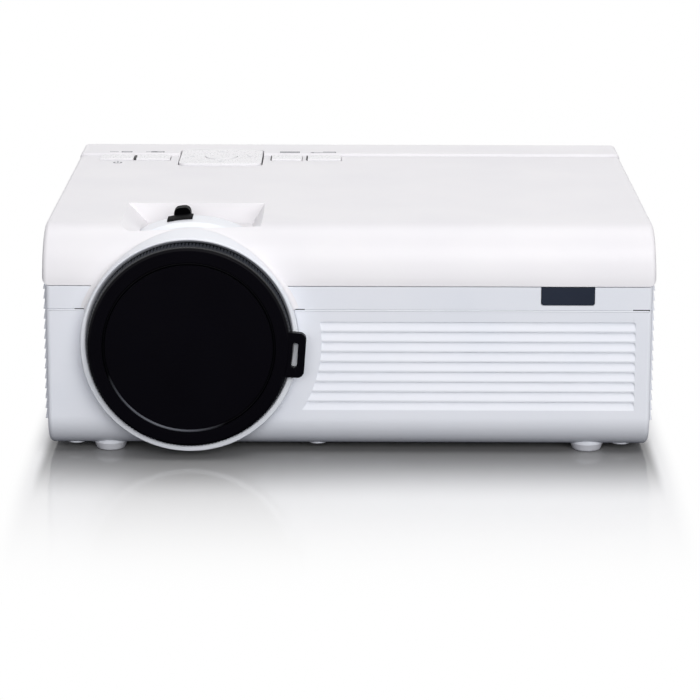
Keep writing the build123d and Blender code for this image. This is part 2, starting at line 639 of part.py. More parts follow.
def make_lower_shell():
    shell = casing_block(LOWER_HALF, 0) - casing_block(LOWER_HALF, WALL)
    shell = shell & box(-HALF, HALF, FRONT - 1, BACK + 1, 0, SIDE_TOP)
    seam = LOWER_SEAM - LOWER_GAP
    shell = shell - box(-HALF, HALF, FRONT - 1, GRILLE_Y0 - PANEL_GAP, seam, BODY_TOP)
    shell = shell - box(HALF - SEAM_NOTCH_INSET, LOWER_HALF - WALL / 2, FRONT - 1, FRONT + WALL / 2,
                        seam - SEAM_NOTCH_HEIGHT, BODY_TOP)
    for side in (-1, 1):
        inner = side * (LOWER_INNER - 1)
        outer = side * (HALF + 1)
        shell = shell - box(min(inner, outer), max(inner, outer), GRILLE_Y0 - PANEL_GAP,
                            GRILLE_Y1 + PANEL_GAP, GRILLE_BOTTOM - PANEL_GAP, BODY_TOP)
    shell = shell - box(-REAR_HALF - PANEL_GAP, REAR_HALF + PANEL_GAP, BACK - WALL - 1, BACK + 1,
                        REAR_BOTTOM - PANEL_GAP, BODY_TOP)
    for x, y in CASE_POSTS:
        shell = shell + rod_z(CASE_POST_RADIUS, x, y, FLOOR + WALL / 2, POST_TOP)
        shell = shell + rod_z(BUMP_RADIUS, x, y, FLOOR, DECK)
        bump = Cone(BUMP_TIP, BUMP_RADIUS, BUMP_HEIGHT, align=(Align.CENTER, Align.CENTER, Align.MAX))
        shell = shell + Pos(x, y, FLOOR) * bump
        shell = shell - rod_z(SCREW_HEAD_RADIUS + PLAY, x, y, 0, SCREW_SEAT)
        shell = shell - rod_z(SCREW_RADIUS + SCREW_FIT, x, y, 0, POST_TOP + 1)
    for x, y in BOARD_POSTS:
        shell = shell + rod_z(POST_RADIUS, x, y, FLOOR + WALL / 2, BOARD_HEIGHT)
        shell = shell - rod_z(SCREW_RADIUS + SCREW_FIT, x, y, BOARD_TOP - BOARD_SCREW_LENGTH - PLAY,
                              BOARD_HEIGHT + 1)
    for x, y in foot_places():
        shell = shell + rod_z(FOOT_RADIUS, x, y, FLOOR, DECK)
    boss = rod_z(TRIPOD_RADIUS + TRIPOD_WALL + TRIPOD_BOSS_WALL, 0, 0, FLOOR, FLOOR + TRIPOD_DEPTH + WALL)
    pocket = rod_z(TRIPOD_RADIUS + TRIPOD_WALL, 0, 0, FLOOR - 1, FLOOR + TRIPOD_DEPTH)
    shell = shell + boss - pocket
    for y in (TUNNEL_FRONT + PLATE_RIB * 3, TUNNEL_BACK - PLATE_RIB * 6):
        cradle = box(TUNNEL_X0, TUNNEL_X1, y, y + WALL, FLOOR + WALL / 2, TUNNEL_Z0)
        shell = shell + cradle
    collar_room = FRONT + COLLAR_DEPTH + COLLAR_CLEAR
    shell = shell - rod_y(COLLAR_HOLE, LENS_X, LENS_Z, FRONT - 1, collar_room)
    # Below the collar the floor would be a thin skin, so it is open there.
    notch = math.sqrt(COLLAR_HOLE ** 2 - (LENS_Z - FLOOR - WALL / 2) ** 2)
    shell = shell - box(LENS_X - notch, LENS_X + notch, FRONT - 1, collar_room, FLOOR - 1, DECK + 1)
    for cut in louvre_recesses():
        shell = shell - cut
    return shell


def make_grille(side):
    """A snap-in side panel with saw-tooth louvres and slits under the teeth."""
    root = HALF - TOOTH_DEPTH
    tip = HALF
    top = SIDE_TOP - PANEL_GAP
    points = [(side * LOWER_INNER, GRILLE_BOTTOM)]
    z = GRILLE_BOTTOM
    slit_tops = []
    while z + LOUVRE_PITCH <= top:
        points.append((side * tip, z))
        points.append((side * root, z + LOUVRE_PITCH))
        z = z + LOUVRE_PITCH
        slit_tops.append(z)
    rest = (top - z) / LOUVRE_PITCH
    points.append((side * tip, z))
    points.append((side * (tip + (root - tip) * rest), top))
    points.append((side * LOWER_INNER, top))
    panel = along_y(points, GRILLE_Y0, GRILLE_Y1)
    span = (GRILLE_Y1 - GRILLE_Y0 - GRILLE_RIB) / GRILLE_SLITS
    inner = side * (LOWER_INNER - 1)
    outer = side * (tip + 1)
    slits = []
    for slit_top in slit_tops:
        for index in range(GRILLE_SLITS):
            start = GRILLE_Y0 + GRILLE_RIB + index * span
            slits.append(box(min(inner, outer), max(inner, outer), start, start + span - GRILLE_RIB,
                             slit_top - SLIT_HEIGHT, slit_top))
    panel = panel - slits
    hook_in = side * (LOWER_INNER - HOOK_THICK)
    hook_out = side * LOWER_INNER
    hook_x0 = min(hook_in, hook_out)
    hook_x1 = max(hook_in, hook_out)
    low_hook = box(hook_x0, hook_x1, GRILLE_Y0 + HOOK_LAP, GRILLE_Y1 - HOOK_LAP,
                   GRILLE_BOTTOM - HOOK_LAP, GRILLE_BOTTOM + HOOK_LAP / 2)
    tall = (top - GRILLE_BOTTOM) / 4
    front_hook = box(hook_x0, hook_x1, GRILLE_Y0 - HOOK_LAP, GRILLE_Y0 + HOOK_LAP / 2,
                     GRILLE_BOTTOM + tall, top - tall)
    back_hook = box(hook_x0, hook_x1, GRILLE_Y1 - HOOK_LAP / 2, GRILLE_Y1 + HOOK_LAP,
                    GRILLE_BOTTOM + tall, top - tall)
    return panel + low_hook + front_hook + back_hook


def make_rear_panel():
    panel = box(-REAR_HALF, REAR_HALF, BACK - WALL, BACK, REAR_BOTTOM, SIDE_TOP - PANEL_GAP)
    for side in (-1, 1):
        inner = side * (REAR_HALF - HOOK_LAP / 2)
        outer = side * (REAR_HALF + HOOK_LAP)
        hook = box(min(inner, outer), max(inner, outer), BACK - WALL - HOOK_THICK, BACK - WALL,
                   REAR_BOTTOM + HOOK_LAP, SIDE_TOP - HOOK_LAP)
        panel = panel + hook
    opening = rod_y(EXHAUST_SIZE / 2 - FAN_RIM, LENS_X, EXHAUST_Z, BACK - WALL - 1, BACK + 1)
    slots = []
    reach = EXHAUST_SIZE / 2 - FAN_RIM - FAN_SLOT_HEIGHT
    steps = int(reach / FAN_SLOT_PITCH)
    for step in range(-steps, steps + 1):
        z = EXHAUST_Z + step * FAN_SLOT_PITCH
        for side in (-1, 1):
            near = LENS_X + side * FAN_SLOT_HEIGHT / 2
            far = LENS_X + side * EXHAUST_SIZE / 2
            slots.append(box(min(near, far), max(near, far), BACK - WALL - 1, BACK + 1,
                             z - FAN_SLOT_HEIGHT / 2, z + FAN_SLOT_HEIGHT / 2) & opening)
    panel = panel - slots
    for x in (PHONES_X, VIDEO_X):
        panel = panel - rod_y(JACK_BODY / 2 + SOCKET_CLEAR, x, BOARD_TOP + JACK_BODY / 2,
                              BACK - WALL - 1, BACK + 1)
    power_nose = POWER_RADIUS + WALL / 2
    panel = panel - rod_y(power_nose + SOCKET_CLEAR, POWER_X, BOARD_TOP + power_nose,
                          BACK - WALL - 1, BACK + 1)
    for x, width, height in ((USB_X, USB_WIDTH, USB_HEIGHT), (HDMI_X, HDMI_WIDTH, HDMI_HEIGHT)):
        panel = panel - box(x - width / 2 - SOCKET_CLEAR, x + width / 2 + SOCKET_CLEAR,
                            BACK - WALL - 1, BACK + 1, BOARD_TOP - SOCKET_CLEAR,
                            BOARD_TOP + height + SOCKET_CLEAR)
    return panel


def foot_places():
    return [(x, y) for x in (-FOOT_X, FOOT_X) for y in (FRONT + FOOT_FRONT, BACK - FOOT_BACK)]


def make_feet():
    foot = Cone(FOOT_TREAD, FOOT_RADIUS, FOOT_HEIGHT, align=(Align.CENTER, Align.CENTER, Align.MIN))
    foot = fillet(foot.edges().group_by(Axis.Z)[0], FOOT_ROUND)
    return [Pos(x, y, 0) * foot for x, y in foot_places()]


def screw(x, y, head_z, shank_length, shank_up):
    """A pan-head screw. The head lies on the side of head_z away from the shank."""
    way = 1 if shank_up else -1
    shank = rod_z(SCREW_RADIUS, x, y, min(head_z, head_z + way * shank_length),
                  max(head_z, head_z + way * shank_length))
    head = rod_z(SCREW_HEAD_RADIUS, x, y, min(head_z, head_z - way * SCREW_HEAD_HEIGHT),
                 max(head_z, head_z - way * SCREW_HEAD_HEIGHT))
    return shank + head


def make_case_screws():
    return [screw(x, y, SCREW_SEAT, CASE_SCREW_LENGTH, True) for x, y in CASE_POSTS]


def make_board_screws():
    return [screw(x, y, BOARD_TOP, BOARD_SCREW_LENGTH, False) for x, y in BOARD_POSTS]


def make_tripod_insert():
    insert = rod_z(TRIPOD_RADIUS + TRIPOD_WALL, 0, 0, FLOOR, FLOOR + TRIPOD_DEPTH)
    return insert - rod_z(TRIPOD_RADIUS, 0, 0, FLOOR - 1, FLOOR + TRIPOD_DEPTH + 1)


# ---------------------------------------------------------------- lens, cap and focus ring
def make_lens_collar():
    rim = COLLAR_EDGE
    crest = FRONT + CREST_START
    web = FRONT + WEB_DEPTH
    web_back = web + WEB_THICK
    spigot_bore = BARREL_RADIUS + PLAY
    points = [(COLLAR_RADIUS - rim, FRONT - COLLAR_PROUD), (COLLAR_RADIUS, FRONT - COLLAR_PROUD + rim),
              (COLLAR_RADIUS, FRONT + COLLAR_DEPTH), (TUBE_RADIUS, FRONT + COLLAR_DEPTH),
              (TUBE_RADIUS, crest), (CREST_RADIUS, crest + CREST_SLOPE),
              (CREST_RADIUS, FRONT + TUBE_END), (TUBE_RADIUS - TUBE_WALL, FRONT + TUBE_END),
              (TUBE_RADIUS - TUBE_WALL, web_back), (spigot_bore, web_back),
              (spigot_bore, FRONT - SPIGOT_PROUD), (SPIGOT_RADIUS, FRONT - SPIGOT_PROUD),
              (SPIGOT_RADIUS, web), (COLLAR_RADIUS - COLLAR_WALL, web),
              (COLLAR_RADIUS - COLLAR_WALL, FRONT - COLLAR_PROUD)]
    collar = turned(points)
    below = box(LENS_X - CREST_RADIUS, LENS_X + CREST_RADIUS, FRONT + COLLAR_DEPTH,
                FRONT + TUBE_END + 1, 0, DECK + PLAY)
    return collar - below


def make_lens_cap():
    face = FRONT - CAP_PROUD
    inner = face + CAP_FACE
    skirt_end = FRONT + WEB_DEPTH - PLAY
    skirt_bore = SPIGOT_RADIUS + PLAY
    groove_out = CAP_GROOVE_RADIUS + CAP_GROOVE_WIDTH / 2
    groove_in = CAP_GROOVE_RADIUS - CAP_GROOVE_WIDTH / 2
    grip_start = face + CAP_SKIRT
    points = [(0, face), (groove_in, face), (groove_in, face + CAP_GROOVE_DEPTH),
              (groove_out, face + CAP_GROOVE_DEPTH), (groove_out, face),
              (CAP_RADIUS - CAP_TAPER - CAP_GROOVE_DEPTH, face),
              (CAP_RADIUS - CAP_TAPER, face + CAP_GROOVE_DEPTH),
              (CAP_RADIUS, grip_start + CAP_SKIRT), (CAP_RADIUS, skirt_end), (skirt_bore, skirt_end),
              (skirt_bore, inner), (0, inner)]
    cap = turned(points)
    back = FRONT - COLLAR_PROUD - PLAY
    loop_x0 = SPIGOT_RADIUS + PLAY
    loop_x1 = CAP_RADIUS + LOOP_REACH
    middle = (loop_x0 + loop_x1) / 2
    plane = Plane(origin=(0, back, 0), x_dir=(1, 0, 0), z_dir=(0, -1, 0))
    outline = plane * Pos(middle, 0) * Rectangle(loop_x1 - loop_x0, LOOP_HEIGHT)
    loop = extrude(outline, LOOP_THICK)
    outer_edges = loop.edges().filter_by(Axis.Y).group_by(Axis.X)[-1]
    loop = fillet(outer_edges, LOOP_REACH / 2)
    loop = loop - rod_y(SPIGOT_RADIUS, 0, 0, back - LOOP_THICK - 1, back + 1)
    slot_x = CAP_RADIUS + PLAY + LOOP_SLOT_WIDTH / 2
    slot_corner = LOOP_SLOT_WIDTH * 0.4
    slot_outline = plane * Pos(slot_x, 0) * RectangleRounded(LOOP_SLOT_WIDTH, LOOP_SLOT_HEIGHT, slot_corner)
    slot = extrude(slot_outline, LOOP_THICK + 1) + extrude(slot_outline, -1)
    loop = Pos(LENS_X, 0, LENS_Z) * Rot(0, -LOOP_ANGLE, 0) * (loop - slot)
    return cap + loop


def make_focus_ring():
    ring = turned([(RING_BORE, FRONT + RING_START), (RING_RADIUS, FRONT + RING_START),
                   (RING_RADIUS, FRONT + RING_END), (RING_BORE, FRONT + RING_END)])
    tip = (LEVER_TOP - LENS_Z) / math.cos(math.radians(LEVER_ANGLE))
    neck = RING_RADIUS + (tip - RING_RADIUS) * LEVER_NECK_SHARE
    half_base = LEVER_BASE / 2
    half_tip = LEVER_TIP / 2
    points = [(-half_base, RING_RADIUS - RING_WALL / 2), (half_base, RING_RADIUS - RING_WALL / 2),
              (half_base, RING_RADIUS), (half_tip, neck), (half_tip, tip), (-half_tip, tip),
              (-half_tip, neck), (-half_base, RING_RADIUS)]
    lever = along_y(points, FRONT + LEVER_START, FRONT + LEVER_START + LEVER_WIDTH)
    lever = fillet(lever.edges().filter_by(Axis.Y).group_by(Axis.Z)[-1], LEVER_ROUND)
    lever = Pos(LENS_X, 0, LENS_Z) * Rot(0, LEVER_ANGLE, 0) * lever
    return ring + lever


def make_lens_barrel():
    front = FRONT + BARREL_SETBACK
    back = front + BARREL_LENGTH
    bore = BARREL_RADIUS - BARREL_WALL
    lip = bore - BARREL_LIP
    lens_front = FRONT + FRONT_LENS_SETBACK
    mid_front = lens_front + FRONT_LENS_THICK - LENS_SAG + 2 * PLAY
    mid_back = FRONT + REAR_LENS_SETBACK + LENS_SAG - 2 * PLAY
    front_lip = lens_front + LENS_SAG - 2 * PLAY
    points = [(lip, front), (BARREL_RADIUS, front), (BARREL_RADIUS, back), (bore, back),
              (bore, mid_back), (lip, mid_back), (lip, mid_front), (bore, mid_front),
              (bore, front_lip), (lip, front_lip)]
    return turned(points)


def make_lens(setback, thick):
    """A biconvex lens: a disc between two shallow spherical faces."""
    radius = BARREL_RADIUS - BARREL_WALL - SLIDE_FIT
    curve = (radius ** 2 + LENS_SAG ** 2) / (2 * LENS_SAG)
    y0 = FRONT + setback
    y1 = y0 + thick
    disc = rod_y(radius, LENS_X, LENS_Z, y0, y1)
    front_ball = Pos(LENS_X, y0 + curve, LENS_Z) * Sphere(curve)
    rear_ball = Pos(LENS_X, y1 - curve, LENS_Z) * Sphere(curve)
    return disc & front_ball & rear_ball


# ---------------------------------------------------------------- light engine
def optical_plate(at, thick):
    y = FRONT + at
    half_width = TUNNEL_IN_WIDTH / 2 - PLATE_CLEAR
    half_height = TUNNEL_IN_HEIGHT / 2 - PLATE_CLEAR
    return box(LENS_X - half_width, LENS_X + half_width, y, y + thick,
               LENS_Z - half_height, LENS_Z + half_height)


PLATES = ((FRONT_FRESNEL_AT, FRESNEL_THICK), (LCD_AT, LCD_THICK), (REAR_FRESNEL_AT, FRESNEL_THICK),
          (HEAT_GLASS_AT, HEAT_GLASS_THICK))


def make_light_tunnel():
    front = TUNNEL_FRONT
    tunnel = box(TUNNEL_X0, TUNNEL_X1, front, TUNNEL_BACK, TUNNEL_Z0, TUNNEL_Z1)
    tunnel = tunnel - box(TUNNEL_X0 + TUNNEL_WALL, TUNNEL_X1 - TUNNEL_WALL, front + TUNNEL_WALL,
                          TUNNEL_BACK - TUNNEL_WALL, TUNNEL_Z0 + TUNNEL_WALL, TUNNEL_Z1 - TUNNEL_WALL)
    sleeve = rod_y(SLEEVE_RADIUS, LENS_X, LENS_Z, FRONT + RING_START - 2 * PLAY, front)
    bore = rod_y(SLEEVE_BORE, LENS_X, LENS_Z, FRONT, front)
    # The flange behind the sleeve is flat above and below, to pass under the finger pocket.
    reach = POCKET_FLOOR - POCKET_WALL - TUNNEL_CLEAR - LENS_Z
    flange = rod_y(SLEEVE_RADIUS, LENS_X, LENS_Z, front, front + TUNNEL_WALL)
    flange = flange & box(TUNNEL_X0, TUNNEL_X1, front, front + TUNNEL_WALL, LENS_Z - reach, LENS_Z + reach)
    light_hole = rod_y(BARREL_RADIUS - BARREL_WALL, LENS_X, LENS_Z, FRONT, front + 2 * TUNNEL_WALL)
    light_hole = light_hole & box(TUNNEL_X0, TUNNEL_X1, FRONT, front + 2 * TUNNEL_WALL,
                                  TUNNEL_Z0 + TUNNEL_WALL, TUNNEL_Z1 - TUNNEL_WALL)
    tunnel = tunnel + sleeve + flange - bore - light_hole
    window = LED_BOARD_SIZE / 2 - WALL
    tunnel = tunnel - box(LENS_X - window, LENS_X + window, TUNNEL_BACK - 2 * TUNNEL_WALL,
                          TUNNEL_BACK + 1, LENS_Z - window, LENS_Z + window)
    for at, thick in PLATES:
        for y in (FRONT + at - PLATE_CLEAR - PLATE_RIB, FRONT + at + thick + PLATE_CLEAR):
            for side in (-1, 1):
                wall_x = LENS_X + side * TUNNEL_IN_WIDTH / 2
                rib_x = wall_x - side * PLATE_RIB
                tunnel = tunnel + box(min(wall_x, rib_x), max(wall_x, rib_x), y, y + PLATE_RIB,
                                      TUNNEL_Z0 + TUNNEL_WALL, TUNNEL_Z1 - TUNNEL_WALL)
    return tunnel


def make_lcd_panel():
    panel = optical_plate(LCD_AT, LCD_THICK)
    y = FRONT + LCD_AT
    for start in (y - 1, y + LCD_THICK - FUNNEL_WALL / 2):
        panel = panel - box(LENS_X - LCD_VIEW_WIDTH / 2, LENS_X + LCD_VIEW_WIDTH / 2, start,
                            start + 1 + FUNNEL_WALL / 2, LENS_Z - LCD_VIEW_HEIGHT / 2,
                            LENS_Z + LCD_VIEW_HEIGHT / 2)
    return panel


def make_funnel():
    y0 = FRONT + FUNNEL_AT
    y1 = TUNNEL_BACK - TUNNEL_WALL

    def form(shrink):
        wide = Plane(origin=(LENS_X, y0, LENS_Z), x_dir=(1, 0, 0), z_dir=(0, 1, 0))
        tight = Plane(origin=(LENS_X, y1, LENS_Z), x_dir=(1, 0, 0), z_dir=(0, 1, 0))
        width = TUNNEL_IN_WIDTH - 2 * PLATE_CLEAR - 2 * shrink
        height = TUNNEL_IN_HEIGHT - 2 * PLATE_CLEAR - 2 * shrink
        mouth = FUNNEL_MOUTH - 2 * shrink
        return loft(Sketch() + [wide * Rectangle(width, height), tight * Rectangle(mouth, mouth)])

    return form(0) - form(FUNNEL_WALL)


def make_led_board():
    y = TUNNEL_BACK
    half = LED_BOARD_SIZE / 2
    board = box(LENS_X - half, LENS_X + half, y, y + LED_BOARD_THICK, LENS_Z - half, LENS_Z + half)
    led = box(LENS_X - LED_SIZE / 2, LENS_X + LED_SIZE / 2, y - LED_HEIGHT, y,
              LENS_Z - LED_SIZE / 2, LENS_Z + LED_SIZE / 2)
    return board + led


def make_heat_sink():
    y0 = TUNNEL_BACK + LED_BOARD_THICK
    half = SINK_WIDTH / 2
    sink = box(LENS_X - half, LENS_X + half, y0, y0 + SINK_BASE, TUNNEL_Z0, TUNNEL_Z1)
    pitch = (SINK_WIDTH - FIN_THICK) / (FIN_COUNT - 1)
    for index in range(FIN_COUNT):
        x = LENS_X - half + index * pitch
        sink = sink + box(x, x + FIN_THICK, y0 + SINK_BASE / 2, y0 + SINK_DEPTH, TUNNEL_Z0, TUNNEL_Z1)
    return sink


# ---------------------------------------------------------------- fans
def fan_frame(size, thick):
    """The square fan body, with its axis along Z and the hub plate at the lower end."""
    half = thick / 2
    hub = size * FAN_HUB_SHARE
    bore = size / 2 - FAN_RIM
    frame = slab_z(size, size, size / 15, 0, 0, -half, half)
    frame = frame - rod_z(bore, 0, 0, -half - 1, half + 1)
    plate = rod_z(hub, 0, 0, -half, -half + FAN_PLATE)
    for turn in range(4):
        strut = box(hub - 1, bore + FAN_RIM / 2, -FAN_PLATE, FAN_PLATE, -half, -half + FAN_PLATE)
        plate = plate + Rot(0, 0, 45 + 90 * turn) * strut
    shaft = rod_z(FAN_SHAFT_RADIUS, 0, 0, -half + FAN_PLATE / 2, half - 2 * FAN_PLATE)
    frame = frame + plate + shaft
    corner = size / 2 - 5
    for x in (-corner, corner):
        for y in (-corner, corner):
            frame = frame - rod_z(FAN_SCREW_RADIUS, x, y, -half - 1, half + 1)
    return frame


def fan_rotor(size, thick):
    half = thick / 2
    hub = size * FAN_HUB_SHARE
    low = -half + FAN_PLATE + PLAY
    high = half - FAN_PLATE / 2
    rotor = rod_z(hub, 0, 0, low, high)
    rotor = fillet(rotor.edges().group_by(Axis.Z)[-1], FAN_PLATE / 2)
    tip = size / 2 - FAN_RIM - FAN_TIP_GAP
    middle = (low + high) / 2
    chord = (high - low) * BLADE_CHORD_SHARE

    def blade_section(radius, pitch):
        lean = math.radians(pitch)
        plane = Plane(origin=(radius, 0, middle), x_dir=(0, math.cos(lean), math.sin(lean)),
                      z_dir=(1, 0, 0))
        return plane * Rectangle(chord, BLADE_THICK)

    root = blade_section(hub - 1, BLADE_ROOT_ANGLE)
    blade = loft(Sketch() + [root, blade_section(tip - BLADE_THICK / 2, BLADE_TIP_ANGLE)])
    room = rod_z(tip, 0, 0, low, high)
    blade = blade & room
    for index in range(FAN_BLADES):
        rotor = rotor + Rot(0, 0, 360 / FAN_BLADES * index) * blade
    bore = rod_z(FAN_SHAFT_RADIUS + FAN_SHAFT_FIT, 0, 0, low - 1, half - 2 * FAN_PLATE + PLAY)
    return rotor - bore


def exhaust_place():
    return Pos(LENS_X, BACK - WALL - EXHAUST_THICK / 2, EXHAUST_Z) * Rot(90, 0, 0)


def intake_place():
    return Pos(-LOWER_INNER + INTAKE_THICK / 2, INTAKE_Y, INTAKE_Z) * Rot(0, 90, 0)


# ---------------------------------------------------------------- boards, sockets and speakers
def key_board_bosses():
    left = min(span[0] for span in KEY_SPANS.values())
    right = max(span[1] for span in KEY_SPANS.values())
    margin = KEY_FLANGE + KEY_STEM_RADIUS + KEY_GAP
    return [(x, y) for x in (left + margin, right - margin) for y in (KEY_Y0 - margin, KEY_Y1 + margin)]


def make_key_board():
    left = min(span[0] for span in KEY_SPANS.values())
    right = max(span[1] for span in KEY_SPANS.values())
    bottom = KEY_BOARD_TOP - KEY_BOARD_THICK
    margin = 2 * KEY_STEM_RADIUS + KEY_GAP + KEY_FLANGE
    board = box(left - KEY_BOARD_MARGIN / 2, right + KEY_BOARD_MARGIN / 2, KEY_Y0 - margin, KEY_Y1 + margin,
                bottom, KEY_BOARD_TOP)
    half = PAD_SIZE / 2 + KEY_BOARD_MARGIN / 2
    board = board + box(PAD_X - half, PAD_X + half, PAD_Y - half, PAD_Y + half, bottom, KEY_BOARD_TOP)
    dome_top = KEY_BOARD_TOP + DOME_HEIGHT
    for x0, x1 in KEY_SPANS.values():
        board = board + rod_z(2 * KEY_STEM_RADIUS, (x0 + x1) / 2, (KEY_Y0 + KEY_Y1) / 2, bottom, dome_top)
    board = board + rod_z(2 * KEY_STEM_RADIUS, PAD_X, PAD_Y, bottom, dome_top)
    return board


def make_key(x0, x1):
    bottom = KEY_TOP - KEY_THICK - 2 * KEY_FLANGE_THICK - PLAY / 2
    key = box(x0, x1, KEY_Y0, KEY_Y1, bottom, KEY_TOP)
    key = fillet(key.edges().group_by(Axis.Z)[-1], KEY_GAP)
    flange = box(x0 - KEY_FLANGE / 2, x1 + KEY_FLANGE / 2, KEY_Y0 - KEY_FLANGE, KEY_Y1 + KEY_FLANGE,
                 bottom, bottom + KEY_FLANGE_THICK)
    stem = rod_z(KEY_STEM_RADIUS, (x0 + x1) / 2, (KEY_Y0 + KEY_Y1) / 2,
                 KEY_BOARD_TOP + DOME_HEIGHT + KEY_TRAVEL + PLAY / 4, bottom + KEY_FLANGE_THICK)
    return key + flange + stem


def make_direction_plate():
    plate = slab_z(PAD_SIZE, PAD_SIZE, PAD_CORNER - PAD_GAP, PAD_X, PAD_Y, PAD_BOTTOM, STRIP_TOP)
    plate = fillet(plate.edges().group_by(Axis.Z)[-1], KEY_GAP)
    return plate - rod_z(OK_RADIUS + KEY_GAP, PAD_X, PAD_Y, PAD_BOTTOM - 1, STRIP_TOP + 1)


def make_direction_pivot():
    low = KEY_BOARD_TOP + PIVOT_CLEAR
    high = PAD_BOTTOM - PIVOT_CLEAR
    ring = rod_z(PIVOT_RADIUS, PAD_X, PAD_Y, low, high)
    return ring - rod_z(PIVOT_RADIUS - PIVOT_WALL, PAD_X, PAD_Y, low - 1, high + 1)


def make_ok_key():
    top = STRIP_TOP + OK_RISE
    flange_top = PAD_BOTTOM - PIVOT_CLEAR
    key = rod_z(OK_RADIUS, PAD_X, PAD_Y, flange_top - KEY_FLANGE_THICK, top)
    key = fillet(key.edges().group_by(Axis.Z)[-1], KEY_GAP)
    flange = rod_z(OK_RADIUS + KEY_FLANGE, PAD_X, PAD_Y, flange_top - KEY_FLANGE_THICK, flange_top)
    stem = rod_z(KEY_STEM_RADIUS, PAD_X, PAD_Y, KEY_BOARD_TOP + DOME_HEIGHT + KEY_TRAVEL + PLAY / 2,
                 flange_top)
    return key + flange + stem


def make_main_board():
    board = box(BOARD_LEFT, BOARD_RIGHT, BOARD_FRONT, BOARD_BACK, BOARD_HEIGHT, BOARD_TOP)
    for x, y in BOARD_POSTS:
        board = board - rod_z(SCREW_RADIUS + SCREW_FIT, x, y, BOARD_HEIGHT - 1, BOARD_TOP + 1)
    middle_x = (BOARD_LEFT + BOARD_RIGHT) / 2
    middle_y = (BOARD_FRONT + BOARD_BACK) / 2
    for dx, dy, width, length in CHIPS:
        board = board + box(middle_x + dx, middle_x + dx + width, middle_y + dy, middle_y + dy + length,
                            BOARD_HEIGHT, BOARD_TOP + CHIP_HEIGHT)
    for index in range(CAPACITOR_COUNT):
        x = middle_x + CAPACITOR_X + index * CAPACITOR_PITCH
        board = board + rod_z(CAPACITOR_RADIUS, x, middle_y + CAPACITOR_Y, BOARD_HEIGHT,
                              BOARD_TOP + CAPACITOR_HEIGHT)
    return board


def make_socket(x, width, height):
    """A metal socket shell with its tongue, open to the back."""
    y1 = BACK - PLAY
    y0 = y1 - SOCKET_DEPTH
    shell = box(x - width / 2, x + width / 2, y0, y1, BOARD_TOP, BOARD_TOP + height)
    shell = shell - box(x - width / 2 + SOCKET_SHELL, x + width / 2 - SOCKET_SHELL, y0 + 2 * SOCKET_SHELL,
                        y1 + 1, BOARD_TOP + SOCKET_SHELL, BOARD_TOP + height - SOCKET_SHELL)
    tongue = box(x - width / 2 + 3 * SOCKET_SHELL, x + width / 2 - 3 * SOCKET_SHELL, y0 + SOCKET_SHELL,
                 y1 - 4 * SOCKET_SHELL, BOARD_TOP + height * 0.42, BOARD_TOP + height * 0.66)
    return shell + tongue


def make_jack(x):
    z = BOARD_TOP + JACK_BODY / 2
    y1 = BACK - PLAY
    body = box(x - JACK_BODY / 2, x + JACK_BODY / 2, y1 - JACK_DEPTH - WALL, BACK - WALL - PLAY,
               BOARD_TOP, BOARD_TOP + JACK_BODY)
    nose = rod_y(JACK_BODY / 2 - PLAY, x, z, BACK - 2 * WALL, y1)
    return body + nose - rod_y(JACK_RADIUS, x, z, y1 - JACK_DEPTH, y1 + 1)


def make_power_socket():
    nose_radius = POWER_RADIUS + WALL / 2
    z = BOARD_TOP + nose_radius
    y1 = BACK - PLAY
    body = box(POWER_X - nose_radius, POWER_X + nose_radius, y1 - SOCKET_DEPTH, BACK - WALL - PLAY,
               BOARD_TOP, BOARD_TOP + 2 * nose_radius)
    nose = rod_y(nose_radius, POWER_X, z, BACK - 2 * WALL, y1)
    socket = body + nose - rod_y(POWER_RADIUS, POWER_X, z, y1 - SOCKET_DEPTH + WALL, y1 + 1)
    pin = rod_y(POWER_PIN_RADIUS, POWER_X, z, y1 - SOCKET_DEPTH + WALL / 2, y1 - WALL / 2)
    return socket + pin


def make_infrared_window():
    top = UPPER_SEAM - SEAM_GAP
    pane = window_form(SOCKET_CLEAR / 2, FRONT, top)
    pipe_half = RECEIVER_WIDTH / 2
    middle = (WINDOW_LEFT + WINDOW_RIGHT) / 2
    receiver_z = (WINDOW_BOTTOM + top) / 2
    pipe = box(middle - pipe_half, middle + pipe_half, FRONT + WALL / 4, FRONT + 2 * WALL,
               receiver_z - RECEIVER_HEIGHT / 2 + PLAY, receiver_z + RECEIVER_HEIGHT / 2 - PLAY)
    return pane + pipe


def make_infrared_receiver():
    top = UPPER_SEAM - SEAM_GAP
    middle = (WINDOW_LEFT + WINDOW_RIGHT) / 2
    z = (WINDOW_BOTTOM + top) / 2
    y = FRONT + 2 * WALL + PLAY
    half = RECEIVER_WIDTH / 2
    body = box(middle - half, middle + half, y, y + RECEIVER_DEPTH, z - RECEIVER_HEIGHT / 2,
               z + RECEIVER_HEIGHT / 2)
    dome = rod_y(RECEIVER_HEIGHT / 3, middle, z, y + RECEIVER_DEPTH / 2, y + RECEIVER_DEPTH + PLAY)
    return body + dome


